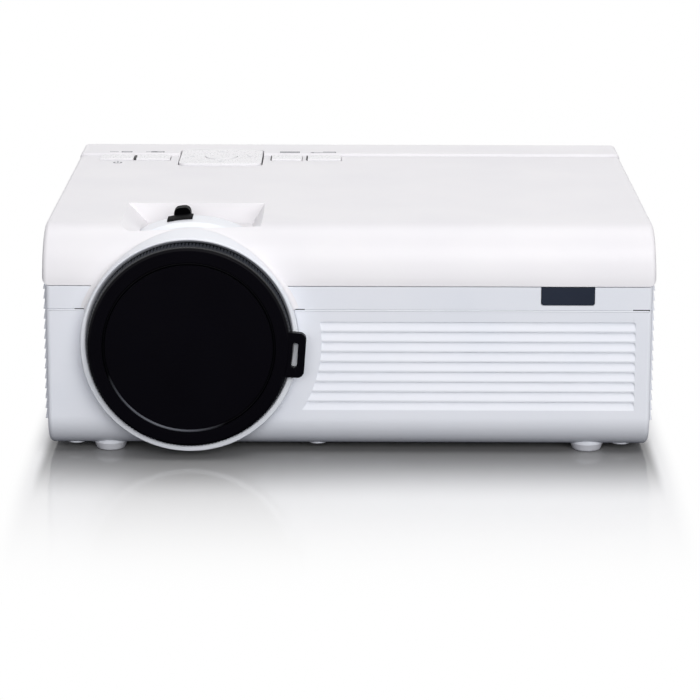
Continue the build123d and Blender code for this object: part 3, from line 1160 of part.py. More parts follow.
def make_speaker(side):
    x_out = side * LOWER_INNER

    def disc(radius, near, far):
        start = side * (LOWER_INNER - near)
        end = side * (LOWER_INNER - far)
        return rod_x(radius, SPEAKER_Y, SPEAKER_Z, min(start, end), max(start, end))

    speaker = disc(SPEAKER_RADIUS + SPEAKER_RIM, HOOK_THICK, 2 * HOOK_THICK)
    low = SPEAKER_RADIUS
    basket = Plane(origin=(side * (LOWER_INNER - HOOK_THICK), SPEAKER_Y, SPEAKER_Z), x_dir=(0, 1, 0),
                   z_dir=(-side, 0, 0))
    cone = extrude(basket * Circle(low), SPEAKER_DEPTH / 2, taper=30)
    magnet = disc(SPEAKER_MAGNET_RADIUS, SPEAKER_DEPTH / 3, SPEAKER_DEPTH)
    dish = Plane(origin=(x_out, SPEAKER_Y, SPEAKER_Z), x_dir=(0, 1, 0), z_dir=(-side, 0, 0))
    hollow = extrude(dish * Circle(low - SPEAKER_RIM / 2), SPEAKER_DEPTH / 2.4, taper=40)
    gasket = disc(SPEAKER_RADIUS + SPEAKER_RIM, 0, HOOK_THICK) - disc(SPEAKER_RADIUS, -1, HOOK_THICK + 1)
    return speaker + cone + magnet - hollow + gasket


# ---------------------------------------------------------------- disc drive
def make_drive_chassis():
    top = DRIVE_TOP - DRIVE_SHEET
    pan = box(DRIVE_X0, DRIVE_X1, DRIVE_Y0, DRIVE_Y1, DRIVE_BOTTOM, top)
    pan = pan - box(DRIVE_X0 + DRIVE_SHEET, DRIVE_X1 + 1, DRIVE_Y0 + DRIVE_SHEET, DRIVE_Y1 - DRIVE_SHEET,
                    DRIVE_BOTTOM + DRIVE_SHEET, top + 1)
    return pan - box(DISC_X - DISC_RADIUS / 3, DISC_X + DISC_RADIUS / 3, DRIVE_Y - DISC_RADIUS / 3,
                     DRIVE_Y + DISC_RADIUS / 3, DRIVE_BOTTOM - 1, DRIVE_BOTTOM + DRIVE_SHEET + 1)


def make_drive_lid():
    bottom = DRIVE_TOP - DRIVE_SHEET
    lid = box(DRIVE_X0, DRIVE_X1, DRIVE_Y0, DRIVE_Y1, bottom, DRIVE_TOP)
    ring_out = DISC_RADIUS * LID_RING_SHARE
    ring = rod_z(ring_out, DISC_X, DRIVE_Y, bottom, DRIVE_TOP + DRIVE_LID_RIB)
    ring = ring - rod_z(ring_out - LID_RING_WIDTH, DISC_X, DRIVE_Y, DRIVE_TOP, DRIVE_TOP + 1)
    return lid + ring


def make_runners():
    """Two steel rails that carry the tray and come out at half its speed."""
    runners = []
    z0 = DRIVE_BOTTOM + DRIVE_SHEET + RUNNER_LIFT
    for side in (-1, 1):
        outer = DRIVE_Y + side * (DRIVE_WIDTH / 2 - DRIVE_SHEET - RUNNER_GAP)
        inner = outer - side * RUNNER_THICK
        rail = box(TRAY_X0, TRAY_X0 + RUNNER_LENGTH, min(inner, outer), max(inner, outer), z0,
                   z0 + RUNNER_HEIGHT)
        middle = z0 + RUNNER_HEIGHT / 2
        groove_far = outer - side * RUNNER_THICK / 2
        rail = rail - box(TRAY_X0 + RUNNER_THICK, TRAY_X0 + RUNNER_LENGTH - RUNNER_THICK,
                          min(groove_far, outer + side), max(groove_far, outer + side),
                          middle - RUNNER_THICK, middle + RUNNER_THICK)
        runners.append(rail)
    return runners


def make_disc_tray():
    tray = box(TRAY_X0, TRAY_X1, DRIVE_Y - TRAY_HALF, DRIVE_Y + TRAY_HALF, TRAY_BOTTOM, TRAY_TOP)
    tray = tray - rod_z(DISC_RADIUS + WELL_CLEAR, DISC_X, DRIVE_Y, TRAY_DECK_Z, TRAY_TOP + 1)
    tray = tray - box(TRAY_X0 + TRAY_FRAME, TRAY_X1 - TRAY_FRAME, DRIVE_Y - TRAY_HALF + TRAY_FRAME,
                      DRIVE_Y + TRAY_HALF - TRAY_FRAME, TRAY_BOTTOM - 1, TRAY_DECK_Z - TRAY_DECK)
    tray = tray - rod_z(HUB_SEAT_RADIUS + HUB_HOLE_CLEAR, DISC_X, DRIVE_Y, TRAY_BOTTOM, TRAY_TOP)
    window = HUB_SEAT_RADIUS * 0.9
    tray = tray - box(SLED_X0 - SLED_TRAVEL + SLED_LENGTH / 5, DISC_X, DRIVE_Y - window, DRIVE_Y + window,
                      TRAY_DECK_Z - 2 * TRAY_DECK, TRAY_TOP)
    reach = DISC_RADIUS * FINGER_SHARE
    for side in (-1, 1):
        tray = tray - rod_z(DISC_RADIUS / 4, DISC_X + side * reach, DRIVE_Y + side * reach,
                            TRAY_DECK_Z, TRAY_TOP + 1)
    recess = EJECT_FLANGE + PLAY
    tray = tray - box(TRAY_X1 - EJECT_LENGTH + EJECT_TRAVEL, TRAY_X1 + 1,
                      EJECT_Y - EJECT_WIDTH / 2 - recess, EJECT_Y + EJECT_WIDTH / 2 + recess,
                      EJECT_Z - EJECT_HEIGHT / 2 - recess, EJECT_Z + EJECT_HEIGHT / 2 + recess)
    return tray


def make_tray_front():
    front = box(TRAY_X1, HALF, DRIVE_Y0 - FRONT_MARGIN, DRIVE_Y1 + FRONT_MARGIN, UPPER_SEAM, FRONT_TOP)
    front = front & cover_envelope()
    front = front - slab_x(EJECT_WIDTH + 2 * EJECT_CLEAR, EJECT_HEIGHT + 2 * EJECT_CLEAR, EJECT_HEIGHT / 3,
                           EJECT_Y, EJECT_Z, TRAY_X1 - 1, HALF + 1)
    return front - rod_x(DRIVE_SHEET, EJECT_Y - EJECT_WIDTH, EJECT_Z, TRAY_X1 - 1, HALF + 1)


def make_eject_button():
    back = TRAY_X1 - EJECT_FLANGE - PLAY / 2
    button = slab_x(EJECT_WIDTH, EJECT_HEIGHT, EJECT_HEIGHT / 3, EJECT_Y, EJECT_Z, back, HALF)
    flange = slab_x(EJECT_WIDTH + 2 * EJECT_FLANGE, EJECT_HEIGHT + 2 * EJECT_FLANGE, EJECT_HEIGHT / 3,
                    EJECT_Y, EJECT_Z, back, TRAY_X1 - PLAY / 2)
    return button + flange


def make_traverse():
    """The steel plate under the tray that carries the motor, the rods and the lead screw."""
    x0 = ROD_X0 - 2 * TRAVERSE_THICK
    x1 = DISC_X + MOTOR_RADIUS + TRAVERSE_MARGIN
    y0 = DRIVE_Y - ROD_SPAN / 2 - TAB_HALF - TRAVERSE_MARGIN
    y1 = LEAD_Y + SLED_MOTOR_RADIUS + TRAVERSE_MARGIN / 2
    plate = box(x0, x1, y0, y1, TRAVERSE_Z, TRAVERSE_TOP)
    for y in (DRIVE_Y - ROD_SPAN / 2, DRIVE_Y + ROD_SPAN / 2):
        for start in (x0, ROD_X1):
            plate = plate + box(start, start + 2 * TRAVERSE_THICK, y - TAB_HALF, y + TAB_HALF,
                                TRAVERSE_Z, ROD_Z + ROD_RADIUS)
    bearing = box(x0, x0 + 2 * TRAVERSE_THICK, LEAD_Y - TAB_HALF, LEAD_Y + TAB_HALF, TRAVERSE_Z,
                  ROD_Z + ROD_RADIUS)
    hole = rod_x(SCREW_END_RADIUS + SLIDE_FIT, LEAD_Y, ROD_Z, x0 - 1, x0 + 4 * TRAVERSE_THICK)
    return plate + bearing - hole


def make_guide_rods():
    return [rod_x(ROD_RADIUS, y, ROD_Z, ROD_X0, ROD_X1)
            for y in (DRIVE_Y - ROD_SPAN / 2, DRIVE_Y + ROD_SPAN / 2)]


def make_sled_motor():
    x1 = DISC_X - SLED_NEAR / 2
    return rod_x(SLED_MOTOR_RADIUS, LEAD_Y, ROD_Z, x1 - SLED_MOTOR_LENGTH, x1)


def make_lead_screw():
    x1 = DISC_X - SLED_NEAR / 2 - SLED_MOTOR_LENGTH - PLAY / 2
    screw_bar = rod_x(SCREW_LEAD_RADIUS, LEAD_Y, ROD_Z, ROD_X0 + PLAY, x1)
    end = rod_x(SCREW_END_RADIUS, LEAD_Y, ROD_Z, ROD_X0 - TRAVERSE_THICK, ROD_X0 + 2 * PLAY)
    return screw_bar + end


def make_pickup_sled():
    x1 = SLED_X0 + SLED_LENGTH
    half = SLED_WIDTH / 2
    sled = box(SLED_X0, x1, DRIVE_Y - half, DRIVE_Y + half, SLED_Z, SLED_Z + SLED_HEIGHT)
    corner_edges = sled.edges().filter_by(Axis.Z)
    sled = fillet(corner_edges, SLED_HEIGHT / 2)
    nut = box(SLED_X0 + PLAY, SLED_X0 + SLED_LENGTH / 3, DRIVE_Y + half - 1,
              LEAD_Y + SCREW_LEAD_RADIUS + 2 * PLAY, SLED_Z, SLED_Z + SLED_HEIGHT)
    sled = sled + nut
    lens_x = SLED_X0 + SLED_LENGTH / 4
    sled = sled + rod_z(SLED_LENGTH / 6, lens_x, DRIVE_Y, SLED_Z, SLED_Z + SLED_HEIGHT + PLAY)
    for y in (DRIVE_Y - ROD_SPAN / 2, DRIVE_Y + ROD_SPAN / 2):
        sled = sled - rod_x(ROD_RADIUS + ROD_FIT, y, ROD_Z, SLED_X0 - 1, x1 + 1)
    return sled - rod_x(SCREW_LEAD_RADIUS + ROD_FIT, LEAD_Y, ROD_Z, SLED_X0 - 1, x1 + 1)


def make_spindle_motor():
    top = HUB_SEAT_Z - HUB_BOSS_HEIGHT / 2 - 2 * PLAY
    motor = rod_z(MOTOR_RADIUS, DISC_X, DRIVE_Y, TRAVERSE_TOP, top)
    motor = fillet(motor.edges().group_by(Axis.Z)[-1], PLAY)
    return motor + rod_z(HUB_SHAFT_RADIUS, DISC_X, DRIVE_Y, top - 1, HUB_SEAT_Z)


def make_turntable():
    bottom = HUB_SEAT_Z - HUB_BOSS_HEIGHT / 2 - PLAY
    seat = rod_z(HUB_SEAT_RADIUS, DISC_X, DRIVE_Y, bottom, HUB_SEAT_Z)
    boss = rod_z(HUB_BOSS_RADIUS, DISC_X, DRIVE_Y, bottom, HUB_SEAT_Z + HUB_BOSS_HEIGHT)
    boss = fillet(boss.edges().group_by(Axis.Z)[-1], HUB_BOSS_HEIGHT / 3)
    bore = rod_z(HUB_SHAFT_RADIUS + HUB_SHAFT_FIT, DISC_X, DRIVE_Y, bottom - 1, HUB_SEAT_Z + PLAY)
    return seat + boss - bore


# ---------------------------------------------------------------- the whole object
def make_parts():
    left_band, right_band = make_front_bands()
    parts = {
        "top_cover": make_top_cover(),
        "left_front_band": left_band,
        "right_front_band": right_band,
        "lower_shell": make_lower_shell(),
        "left_grille": make_grille(-1),
        "right_grille": make_grille(1),
        "rear_panel": make_rear_panel(),
        "case_screws": make_case_screws(),
        "board_screws": make_board_screws(),
        "rubber_feet": make_feet(),
        "tripod_insert": make_tripod_insert(),
        "lens_collar": make_lens_collar(),
        "lens_cap": make_lens_cap(),
        "focus_ring": make_focus_ring(),
        "lens_barrel": make_lens_barrel(),
        "front_lens": make_lens(FRONT_LENS_SETBACK, FRONT_LENS_THICK),
        "rear_lens": make_lens(REAR_LENS_SETBACK, REAR_LENS_THICK),
        "light_tunnel": make_light_tunnel(),
        "front_fresnel": optical_plate(FRONT_FRESNEL_AT, FRESNEL_THICK),
        "lcd_panel": make_lcd_panel(),
        "rear_fresnel": optical_plate(REAR_FRESNEL_AT, FRESNEL_THICK),
        "heat_glass": optical_plate(HEAT_GLASS_AT, HEAT_GLASS_THICK),
        "reflector_funnel": make_funnel(),
        "led_board": make_led_board(),
        "heat_sink": make_heat_sink(),
        "exhaust_fan_frame": exhaust_place() * fan_frame(EXHAUST_SIZE, EXHAUST_THICK),
        "exhaust_fan_rotor": exhaust_place() * fan_rotor(EXHAUST_SIZE, EXHAUST_THICK),
        "intake_fan_frame": intake_place() * fan_frame(INTAKE_SIZE, INTAKE_THICK),
        "intake_fan_rotor": intake_place() * fan_rotor(INTAKE_SIZE, INTAKE_THICK),
        "main_board": make_main_board(),
        "key_board": make_key_board(),
        "direction_plate": make_direction_plate(),
        "direction_pivot": make_direction_pivot(),
        "ok_key": make_ok_key(),
        "hdmi_socket": make_socket(HDMI_X, HDMI_WIDTH, HDMI_HEIGHT),
        "usb_socket": make_socket(USB_X, USB_WIDTH, USB_HEIGHT),
        "phones_jack": make_jack(PHONES_X),
        "video_jack": make_jack(VIDEO_X),
        "power_socket": make_power_socket(),
        "infrared_window": make_infrared_window(),
        "infrared_receiver": make_infrared_receiver(),
        "left_speaker": make_speaker(-1),
        "right_speaker": make_speaker(1),
        "drive_chassis": make_drive_chassis(),
        "drive_lid": make_drive_lid(),
        "tray_runners": make_runners(),
        "disc_tray": make_disc_tray(),
        "tray_front": make_tray_front(),
        "eject_button": make_eject_button(),
        "traverse_frame": make_traverse(),
        "guide_rods": make_guide_rods(),
        "sled_motor": make_sled_motor(),
        "lead_screw": make_lead_screw(),
        "pickup_sled": make_pickup_sled(),
        "spindle_motor": make_spindle_motor(),
        "turntable": make_turntable(),
    }
    for name, (x0, x1) in KEY_SPANS.items():
        parts[name] = make_key(x0, x1)
    return parts


def main():
    os.makedirs("parts", exist_ok=True)
    for name, shape in make_parts().items():
        if isinstance(shape, list):
            shape = Compound(children=shape)
        shape.label = name
        export_step(shape, "parts/" + name + ".step")


main()
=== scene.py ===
import math

import bmesh
import bpy
from mathutils import Matrix, Vector


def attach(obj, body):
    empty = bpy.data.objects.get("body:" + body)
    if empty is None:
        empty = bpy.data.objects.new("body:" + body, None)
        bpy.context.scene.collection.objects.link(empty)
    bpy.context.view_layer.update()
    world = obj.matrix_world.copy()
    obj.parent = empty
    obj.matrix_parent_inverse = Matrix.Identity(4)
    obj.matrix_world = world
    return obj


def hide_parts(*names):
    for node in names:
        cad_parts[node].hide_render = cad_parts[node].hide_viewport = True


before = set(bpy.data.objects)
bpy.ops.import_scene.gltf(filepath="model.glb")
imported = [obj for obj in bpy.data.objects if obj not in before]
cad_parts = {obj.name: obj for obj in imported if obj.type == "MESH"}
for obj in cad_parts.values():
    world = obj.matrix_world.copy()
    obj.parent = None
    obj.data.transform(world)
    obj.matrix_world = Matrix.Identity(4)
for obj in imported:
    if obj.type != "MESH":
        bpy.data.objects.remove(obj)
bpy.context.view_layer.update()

# Sizes and places are in millimetres, and MM turns them to metres.
MM = 0.001


# ---------------------------------------------------------------- places taken from the solids
def solid_box(name):
    """A solid's lowest and highest corner in millimetres, to a hundredth."""
    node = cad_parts[name]
    corners = [node.matrix_world @ Vector(corner) for corner in node.bound_box]
    low = [round(min(corner[axis] for corner in corners) / MM, 2) for axis in range(3)]
    high = [round(max(corner[axis] for corner in corners) / MM, 2) for axis in range(3)]
    return low, high


def solid_middle(name):
    """The middle of a solid's box in millimetres, to a tenth."""
    low, high = solid_box(name)
    return [round((l + h) / 2, 1) for l, h in zip(low, high)]


LENS_X, LENS_Z = solid_middle("lens_barrel")[0::2]
LENS_AXIS = (LENS_X, 0, LENS_Z)
FRONT = solid_box("lower_shell")[0][1]
STRIP_TOP = solid_box("top_cover")[1][2]
BODY_TOP = STRIP_TOP - 1.0
NOSE_RADIUS = 22.7
SEAM_Z = 59.4
CAP_FACE_Y = solid_box("lens_cap")[0][1]
GROOVE_RADIUS = 33.3
PAD_X, PAD_Y = solid_middle("direction_plate")[:2]
# The sockets stand on the main board. The key board's chips and domes stand on its 1.4 mm sheet.
MAIN_BOARD_TOP = solid_box("hdmi_socket")[0][2]
KEY_BOARD_TOP = solid_box("key_board")[0][2] + 1.4
SPEAKER_RADIUS = 22.0


# ---------------------------------------------------------------- colours and nodes
def linear(code):
    """An sRGB hex colour as linear red, green, blue and alpha."""
    parts = [int(code[i:i + 2], 16) / 255 for i in (1, 3, 5)]
    return [c / 12.92 if c <= 0.04045 else ((c + 0.055) / 1.055) ** 2.4 for c in parts] + [1.0]


def add_node(tree, kind, settings=None, links=None):
    """Adds a node. settings are input values or node properties, links are input to (node, output)."""
    node = tree.nodes.new(kind)
    for key, value in (settings or {}).items():
        if isinstance(key, int) or key in node.inputs:
            node.inputs[key].default_value = value
        else:
            setattr(node, key, value)
    for key, (source, output) in (links or {}).items():
        tree.links.new(source.outputs[output], node.inputs[key])
    return node


def start_material(name):
    """A new material with its shader and the object's own coordinates."""
    material = bpy.data.materials.new(name)
    material.use_nodes = True
    tree = material.node_tree
    tree.nodes.clear()
    shader = add_node(tree, "ShaderNodeBsdfPrincipled")
    add_node(tree, "ShaderNodeOutputMaterial", {}, {"Surface": (shader, "BSDF")})
    place = add_node(tree, "ShaderNodeTexCoord")
    return material, tree, shader, place


def colour_from(tree, shader, source, output, stops):
    """Colours the shader by a factor, through stops of (position, hex colour)."""
    ramp = add_node(tree, "ShaderNodeValToRGB", {}, {"Fac": (source, output)})
    elements = ramp.color_ramp.elements
    while len(elements) < len(stops):
        elements.new(0.5)
    for element, (position, code) in zip(elements, stops):
        element.position = position
        element.color = linear(code)
    tree.links.new(ramp.outputs["Color"], shader.inputs["Base Color"])


def by_distance(tree, place, middle, axes, reach_mm):
    """The distance from a place, as a share of reach_mm. Only the named axes count."""
    centred = add_node(tree, "ShaderNodeMapping", {"Location": [-c * MM for c in middle]},
                       {"Vector": (place, "Object")})
    keep = [1.0 if axis in axes else 0.0 for axis in "XYZ"]
    flat = add_node(tree, "ShaderNodeVectorMath", {"operation": "MULTIPLY", 1: keep},
                    {0: (centred, "Vector")})
    length = add_node(tree, "ShaderNodeVectorMath", {"operation": "LENGTH"}, {0: (flat, "Vector")})
    return add_node(tree, "ShaderNodeMath", {"operation": "DIVIDE", 1: reach_mm * MM}, {0: (length, "Value")})


def plastic(name, grain_mm, roughness, spread, height_mm, coat=0.0, ior=1.52, gloss=0.5):
    """A plastic without its colour: a spark-eroded grain and roughness that varies with it."""
    material, tree, shader, place = start_material(name)
    shader.inputs["IOR"].default_value = ior
    shader.inputs["Specular IOR Level"].default_value = gloss
    shader.inputs["Coat Weight"].default_value = coat
    shader.inputs["Coat Roughness"].default_value = 0.12
    grain = add_node(tree, "ShaderNodeTexNoise", {"Scale": 1 / (grain_mm * MM), "Detail": 2.0},
                     {"Vector": (place, "Object")})
    dull = add_node(tree, "ShaderNodeMapRange", {"To Min": roughness - spread, "To Max": roughness + spread},
                    {"Value": (grain, "Fac")})
    tree.links.new(dull.outputs["Result"], shader.inputs["Roughness"])
    bump = add_node(tree, "ShaderNodeBump", {"Strength": 0.5, "Distance": height_mm * MM},
                    {"Height": (grain, "Fac")})
    tree.links.new(bump.outputs["Normal"], shader.inputs["Normal"])
    return material, tree, shader, place


FLOW_MM = 45.0


def moulded(name, code, deep_code, **finish):
    """A moulded plastic with the faint mottle of flowing resin. finish is what plastic takes."""
    material, tree, shader, place = plastic(name, **finish)
    flow = add_node(tree, "ShaderNodeTexNoise",
                    {"Scale": 1 / (FLOW_MM * MM), "Detail": 3.0, "Roughness": 0.5},
                    {"Vector": (place, "Object")})
    colour_from(tree, shader, flow, "Fac", [(0.3, deep_code), (0.62, code)])
    return material


def painted_light_by_distance(name, middle, axes, reach_mm, stops, **finish):
    """A plastic with painted light: its colour changes with the distance from a place, which by_distance
    gives.
    """
    material, tree, shader, place = plastic(name, **finish)
    distance = by_distance(tree, place, middle, axes, reach_mm)
    colour_from(tree, shader, distance, "Value", stops)
    return material


LINE_LENGTHS = 60


def drawn_metal(name, code, dark_code, roughness, along, line_mm):
    """A metal with the fine lines of drawing, brushing or rolling, 60 times as long as they are wide."""
    material, tree, shader, place = start_material(name)
    shader.inputs["Metallic"].default_value = 1.0
    stretch = [1 / (line_mm * MM)] * 3
    stretch["XYZ".index(along)] = 1 / (line_mm * LINE_LENGTHS * MM)
    scaled = add_node(tree, "ShaderNodeMapping", {"Scale": stretch}, {"Vector": (place, "Object")})
    lines = add_node(tree, "ShaderNodeTexNoise", {"Scale": 1.0, "Detail": 3.0},
                     {"Vector": (scaled, "Vector")})
    colour_from(tree, shader, lines, "Fac", [(0.3, dark_code), (0.7, code)])
    dull = add_node(tree, "ShaderNodeMapRange", {"To Min": roughness - 0.07, "To Max": roughness + 0.1},
                    {"Value": (lines, "Fac")})
    tree.links.new(dull.outputs["Result"], shader.inputs["Roughness"])
    bump = add_node(tree, "ShaderNodeBump", {"Strength": 0.25, "Distance": 0.02 * MM},
                    {"Height": (lines, "Fac")})
    tree.links.new(bump.outputs["Normal"], shader.inputs["Normal"])
    return material


def galvanised(name, spangle_mm):
    """Hot-dip galvanised sheet. The zinc's flat crystals give patches of slightly different grey."""
    material, tree, shader, place = start_material(name)
    shader.inputs["Metallic"].default_value = 1.0
    spangle = add_node(tree, "ShaderNodeTexVoronoi", {"Scale": 1 / (spangle_mm * MM)},
                       {"Vector": (place, "Object")})
    colour_from(tree, shader, spangle, "Color", [(0.1, "#A9ADB0"), (0.9, "#CDD0D2")])
    dull = add_node(tree, "ShaderNodeMapRange", {"To Min": 0.28, "To Max": 0.46},
                    {"Value": (spangle, "Color")})
    tree.links.new(dull.outputs["Result"], shader.inputs["Roughness"])
    return material


def solder_mask(name, top, track_mm=9.0):
    """A fibreglass board under green lacquer with copper tracks. Above its top stand chips of black epoxy."""
    material, tree, shader, place = start_material(name)
    tracks = add_node(tree, "ShaderNodeTexBrick",
                      {"Scale": 1 / (track_mm * MM), "Mortar Size": 0.03, "Color1": linear("#0E5A2C"),
                       "Color2": linear("#0B4A25"), "Mortar": linear("#1B7A41")},
                      {"Vector": (place, "Object")})
    axes = add_node(tree, "ShaderNodeSeparateXYZ", {}, {"Vector": (place, "Object")})
    above = add_node(tree, "ShaderNodeMath", {"operation": "GREATER_THAN", 1: (top + 0.05) * MM},
                     {0: (axes, "Z")})
    # Sockets 6 and 7 and output 2 are the Mix node's colours.
    mixed = add_node(tree, "ShaderNodeMix", {"data_type": "RGBA"}, {"Factor": (above, "Value")})
    mixed.inputs[7].default_value = linear("#16161A")
    tree.links.new(tracks.outputs["Color"], mixed.inputs[6])
    tree.links.new(mixed.outputs[2], shader.inputs["Base Color"])
    shader.inputs["Roughness"].default_value = 0.34
    return material


def ringed_acrylic(name, ring_mm):
    """Pressed acrylic with the circular steps of a flat lens, drawn at twice their real spacing."""
    material, tree, shader, place = start_material(name)
    distance = by_distance(tree, place, LENS_AXIS, "XZ", ring_mm)
    step = add_node(tree, "ShaderNodeMath", {"operation": "FRACT"}, {0: (distance, "Value")})
    bump = add_node(tree, "ShaderNodeBump", {"Strength": 0.6, "Distance": 0.1 * MM},
                    {"Height": (step, "Value")})
    tree.links.new(bump.outputs["Normal"], shader.inputs["Normal"])
    colour_from(tree, shader, step, "Value", [(0.0, "#D8DDE2"), (1.0, "#F2F5F8")])
    shader.inputs["Transmission Weight"].default_value = 0.85
    shader.inputs["Roughness"].default_value = 0.08
    shader.inputs["IOR"].default_value = 1.49
    return material


def clear_glass(name, code, roughness, coat_code=None):
    """Polished glass. A coated lens has a thin film that tints what it reflects."""
    material, tree, shader, place = start_material(name)
    haze = add_node(tree, "ShaderNodeTexNoise", {"Scale": 1 / (12 * MM)}, {"Vector": (place, "Object")})
    colour_from(tree, shader, haze, "Fac", [(0.3, code), (0.8, "#FFFFFF")])
    shader.inputs["Transmission Weight"].default_value = 0.95
    shader.inputs["Roughness"].default_value = roughness
    shader.inputs["IOR"].default_value = 1.52
    if coat_code:
        shader.inputs["Coat Weight"].default_value = 0.6
        shader.inputs["Coat Tint"].default_value = linear(coat_code)
        shader.inputs["Specular Tint"].default_value = linear(coat_code)
    return material


def speaker_cone(name, solid):
    """A small loudspeaker: pressed-paper cone, soft rubber edge, steel frame and a dark magnet."""
    material, tree, shader, place = start_material(name)
    distance = by_distance(tree, place, solid_middle(solid), "YZ", SPEAKER_RADIUS)
    colour_from(tree, shader, distance, "Value",
                [(0.0, "#26262A"), (0.30, "#3A3A3E"), (0.34, "#2B2B2E"), (0.80, "#35353A"),
                 (0.86, "#141416"), (0.95, "#4A4B4E")])
    fibres = add_node(tree, "ShaderNodeTexNoise", {"Scale": 1 / (0.6 * MM), "Detail": 4.0},
                      {"Vector": (place, "Object")})
    bump = add_node(tree, "ShaderNodeBump", {"Strength": 0.4, "Distance": 0.06 * MM},
                    {"Height": (fibres, "Fac")})
    tree.links.new(bump.outputs["Normal"], shader.inputs["Normal"])
    shader.inputs["Roughness"].default_value = 0.72
    return material


# ---------------------------------------------------------------- materials
# White ABS, injection moulded in a spark-eroded tool: an even satin with a soft highlight.
COVER_ABS = moulded("abs_white_satin_cover", "#F1EFF1", "#EDEBEE",
                    grain_mm=0.45, roughness=0.36, spread=0.04, height_mm=0.012)
# The same resin with a touch of grey-blue, for the mouldings under the seam.
SHELL_ABS = moulded("abs_grey_white_satin_shell", "#F3F5FB", "#EFF2F9",
                    grain_mm=0.45, roughness=0.40, spread=0.04, height_mm=0.012)
# Polished-tool ABS of the keys: the same white with a sharper highlight.
GLOSS_ABS = moulded("abs_white_polished_keys", "#F1F0F2", "#EDECEE",
                    grain_mm=0.8, roughness=0.28, spread=0.03, height_mm=0.004, coat=0.15)
# The collar's resin is cooler in tone than the keys'.
COLLAR_ABS = moulded("abs_white_polished_collar", "#F2F4F9", "#EEF1F7",
                     grain_mm=1.6, roughness=0.30, spread=0.02, height_mm=0.002, coat=0.1)
# Black ABS with a finer grain, for the lens cap: deep black with a faint cool sheen.
CAP_ABS = moulded("abs_black_satin_cap", "#08070C", "#060509",
                  grain_mm=0.35, roughness=0.38, spread=0.05, height_mm=0.010, gloss=0.06)
# The lip in the cap's groove: matte black, with a painted highlight, a grey arc at its lower left.
# Being painted, it stays in place when the lamps move.
SHINE_ANGLE = math.radians(247)
SHINE_AT = (LENS_X + GROOVE_RADIUS * math.cos(SHINE_ANGLE), 0, LENS_Z + GROOVE_RADIUS * math.sin(SHINE_ANGLE))
GROOVE_ABS = painted_light_by_distance("abs_black_groove_painted_highlight", SHINE_AT, "XZ", 27.0,
                  [(0.0, "#6E7077"), (0.45, "#5A5C63"), (1.0, "#030305")],
                  grain_mm=0.35, roughness=0.38, spread=0.05, height_mm=0.006, gloss=0.05)
# The cap's knurled edge, blue-grey towards its back: a painted reflection of the bright surroundings
# at a grazing angle, so it stays in place when the lamps move.
GRIP_ABS = painted_light_by_distance("abs_black_knurled_grip_painted_reflection", (0, CAP_FACE_Y + 9.0, 0), "Y", 8.5,
                [(0.1, "#70757F"), (0.5, "#353841"), (0.9, "#0B0C10")],
                grain_mm=0.35, roughness=0.36, spread=0.05, height_mm=0.004, gloss=0.9)
# Black polycarbonate from a fine satin tool, for the focus ring and its lever.
LEVER_PC = moulded("polycarbonate_black_satin_lever", "#060608", "#040405",
                   grain_mm=0.9, roughness=0.42, spread=0.03, height_mm=0.004, gloss=0.012)
# Glass-filled nylon and PBT: matte and slightly mottled, for fans, tunnel, barrel and jacks.
NYLON = moulded("nylon_black_glass_filled", "#1B1B1D", "#131315",
                grain_mm=0.6, roughness=0.52, spread=0.06, height_mm=0.03)
# Acetal, a waxy black, for the tray and the pickup.
ACETAL = moulded("acetal_black_tray", "#17171A", "#111113",
                 grain_mm=0.5, roughness=0.42, spread=0.05, height_mm=0.015)
# Silicone rubber of a milky pale grey, for the feet.
SILICONE = moulded("silicone_pale_grey_feet", "#E6E7EC", "#DDDEE4",
                   grain_mm=1.2, roughness=0.45, spread=0.05, height_mm=0.02)
# Black silicone of the rocker under the direction plate and the keys' lips. The same black colours the
# painted shadow in the seam.
RUBBER = moulded("silicone_black_rocker", "#1C1C1E", "#161618",
                 grain_mm=1.0, roughness=0.6, spread=0.05, height_mm=0.02)
# Smoked acrylic that lets infrared light through and looks blue-black.
SMOKED = moulded("acrylic_smoked_window", "#2E3442", "#282E3A",
                 grain_mm=2.0, roughness=0.10, spread=0.02, height_mm=0.002, coat=0.5, ior=1.49)
# Dark glass of the display panel, under its polarising film.
LCD_GLASS = moulded("glass_dark_display_panel", "#23262B", "#1D2024",
                    grain_mm=3.0, roughness=0.12, spread=0.02, height_mm=0.002, coat=0.6)
# Pad-printed grey ink of the signs behind the keys and before the power key.
INK = moulded("ink_grey_pad_print", "#7B7D83", "#74767C",
              grain_mm=0.3, roughness=0.55, spread=0.04, height_mm=0.002)
# The same ink thinned, for the arrows on the direction plate.
PALE_INK = moulded("ink_pale_grey_pad_print", "#D3D4D7", "#CDCED2",
                   grain_mm=0.3, roughness=0.55, spread=0.04, height_mm=0.002)
# Machine screws of zinc-plated steel.
ZINC = drawn_metal("steel_zinc_plated_screws", "#C9CDD2", "#AEB3BA", roughness=0.26, along="Z", line_mm=0.15)
# Nickel-plated steel shells of the sockets.
NICKEL = drawn_metal("steel_nickel_plated_sockets", "#D6D3CC", "#C2BFB8",
                     roughness=0.22, along="X", line_mm=0.12)
# Stamped stainless steel of the drive's runners, rods and plate.
STAINLESS = drawn_metal("steel_stainless_stamped", "#BFC1C3", "#A2A4A7",
                        roughness=0.30, along="X", line_mm=0.12)
# Extruded aluminium, bare, with draw lines along the fins.
ALUMINIUM = drawn_metal("aluminium_extruded_heat_sink", "#D4D6D8", "#BDBFC2",
                        roughness=0.38, along="Z", line_mm=0.25)
# A funnel with aluminium vapour on its inside: nearly a mirror.
REFLECTOR = drawn_metal("aluminium_vacuum_coated_funnel", "#E9EAEC", "#DDDFE2",
                        roughness=0.12, along="Y", line_mm=0.5)
# Turned brass.
BRASS = drawn_metal("brass_turned_insert", "#C9A45A", "#B08D48", roughness=0.24, along="Z", line_mm=0.10)
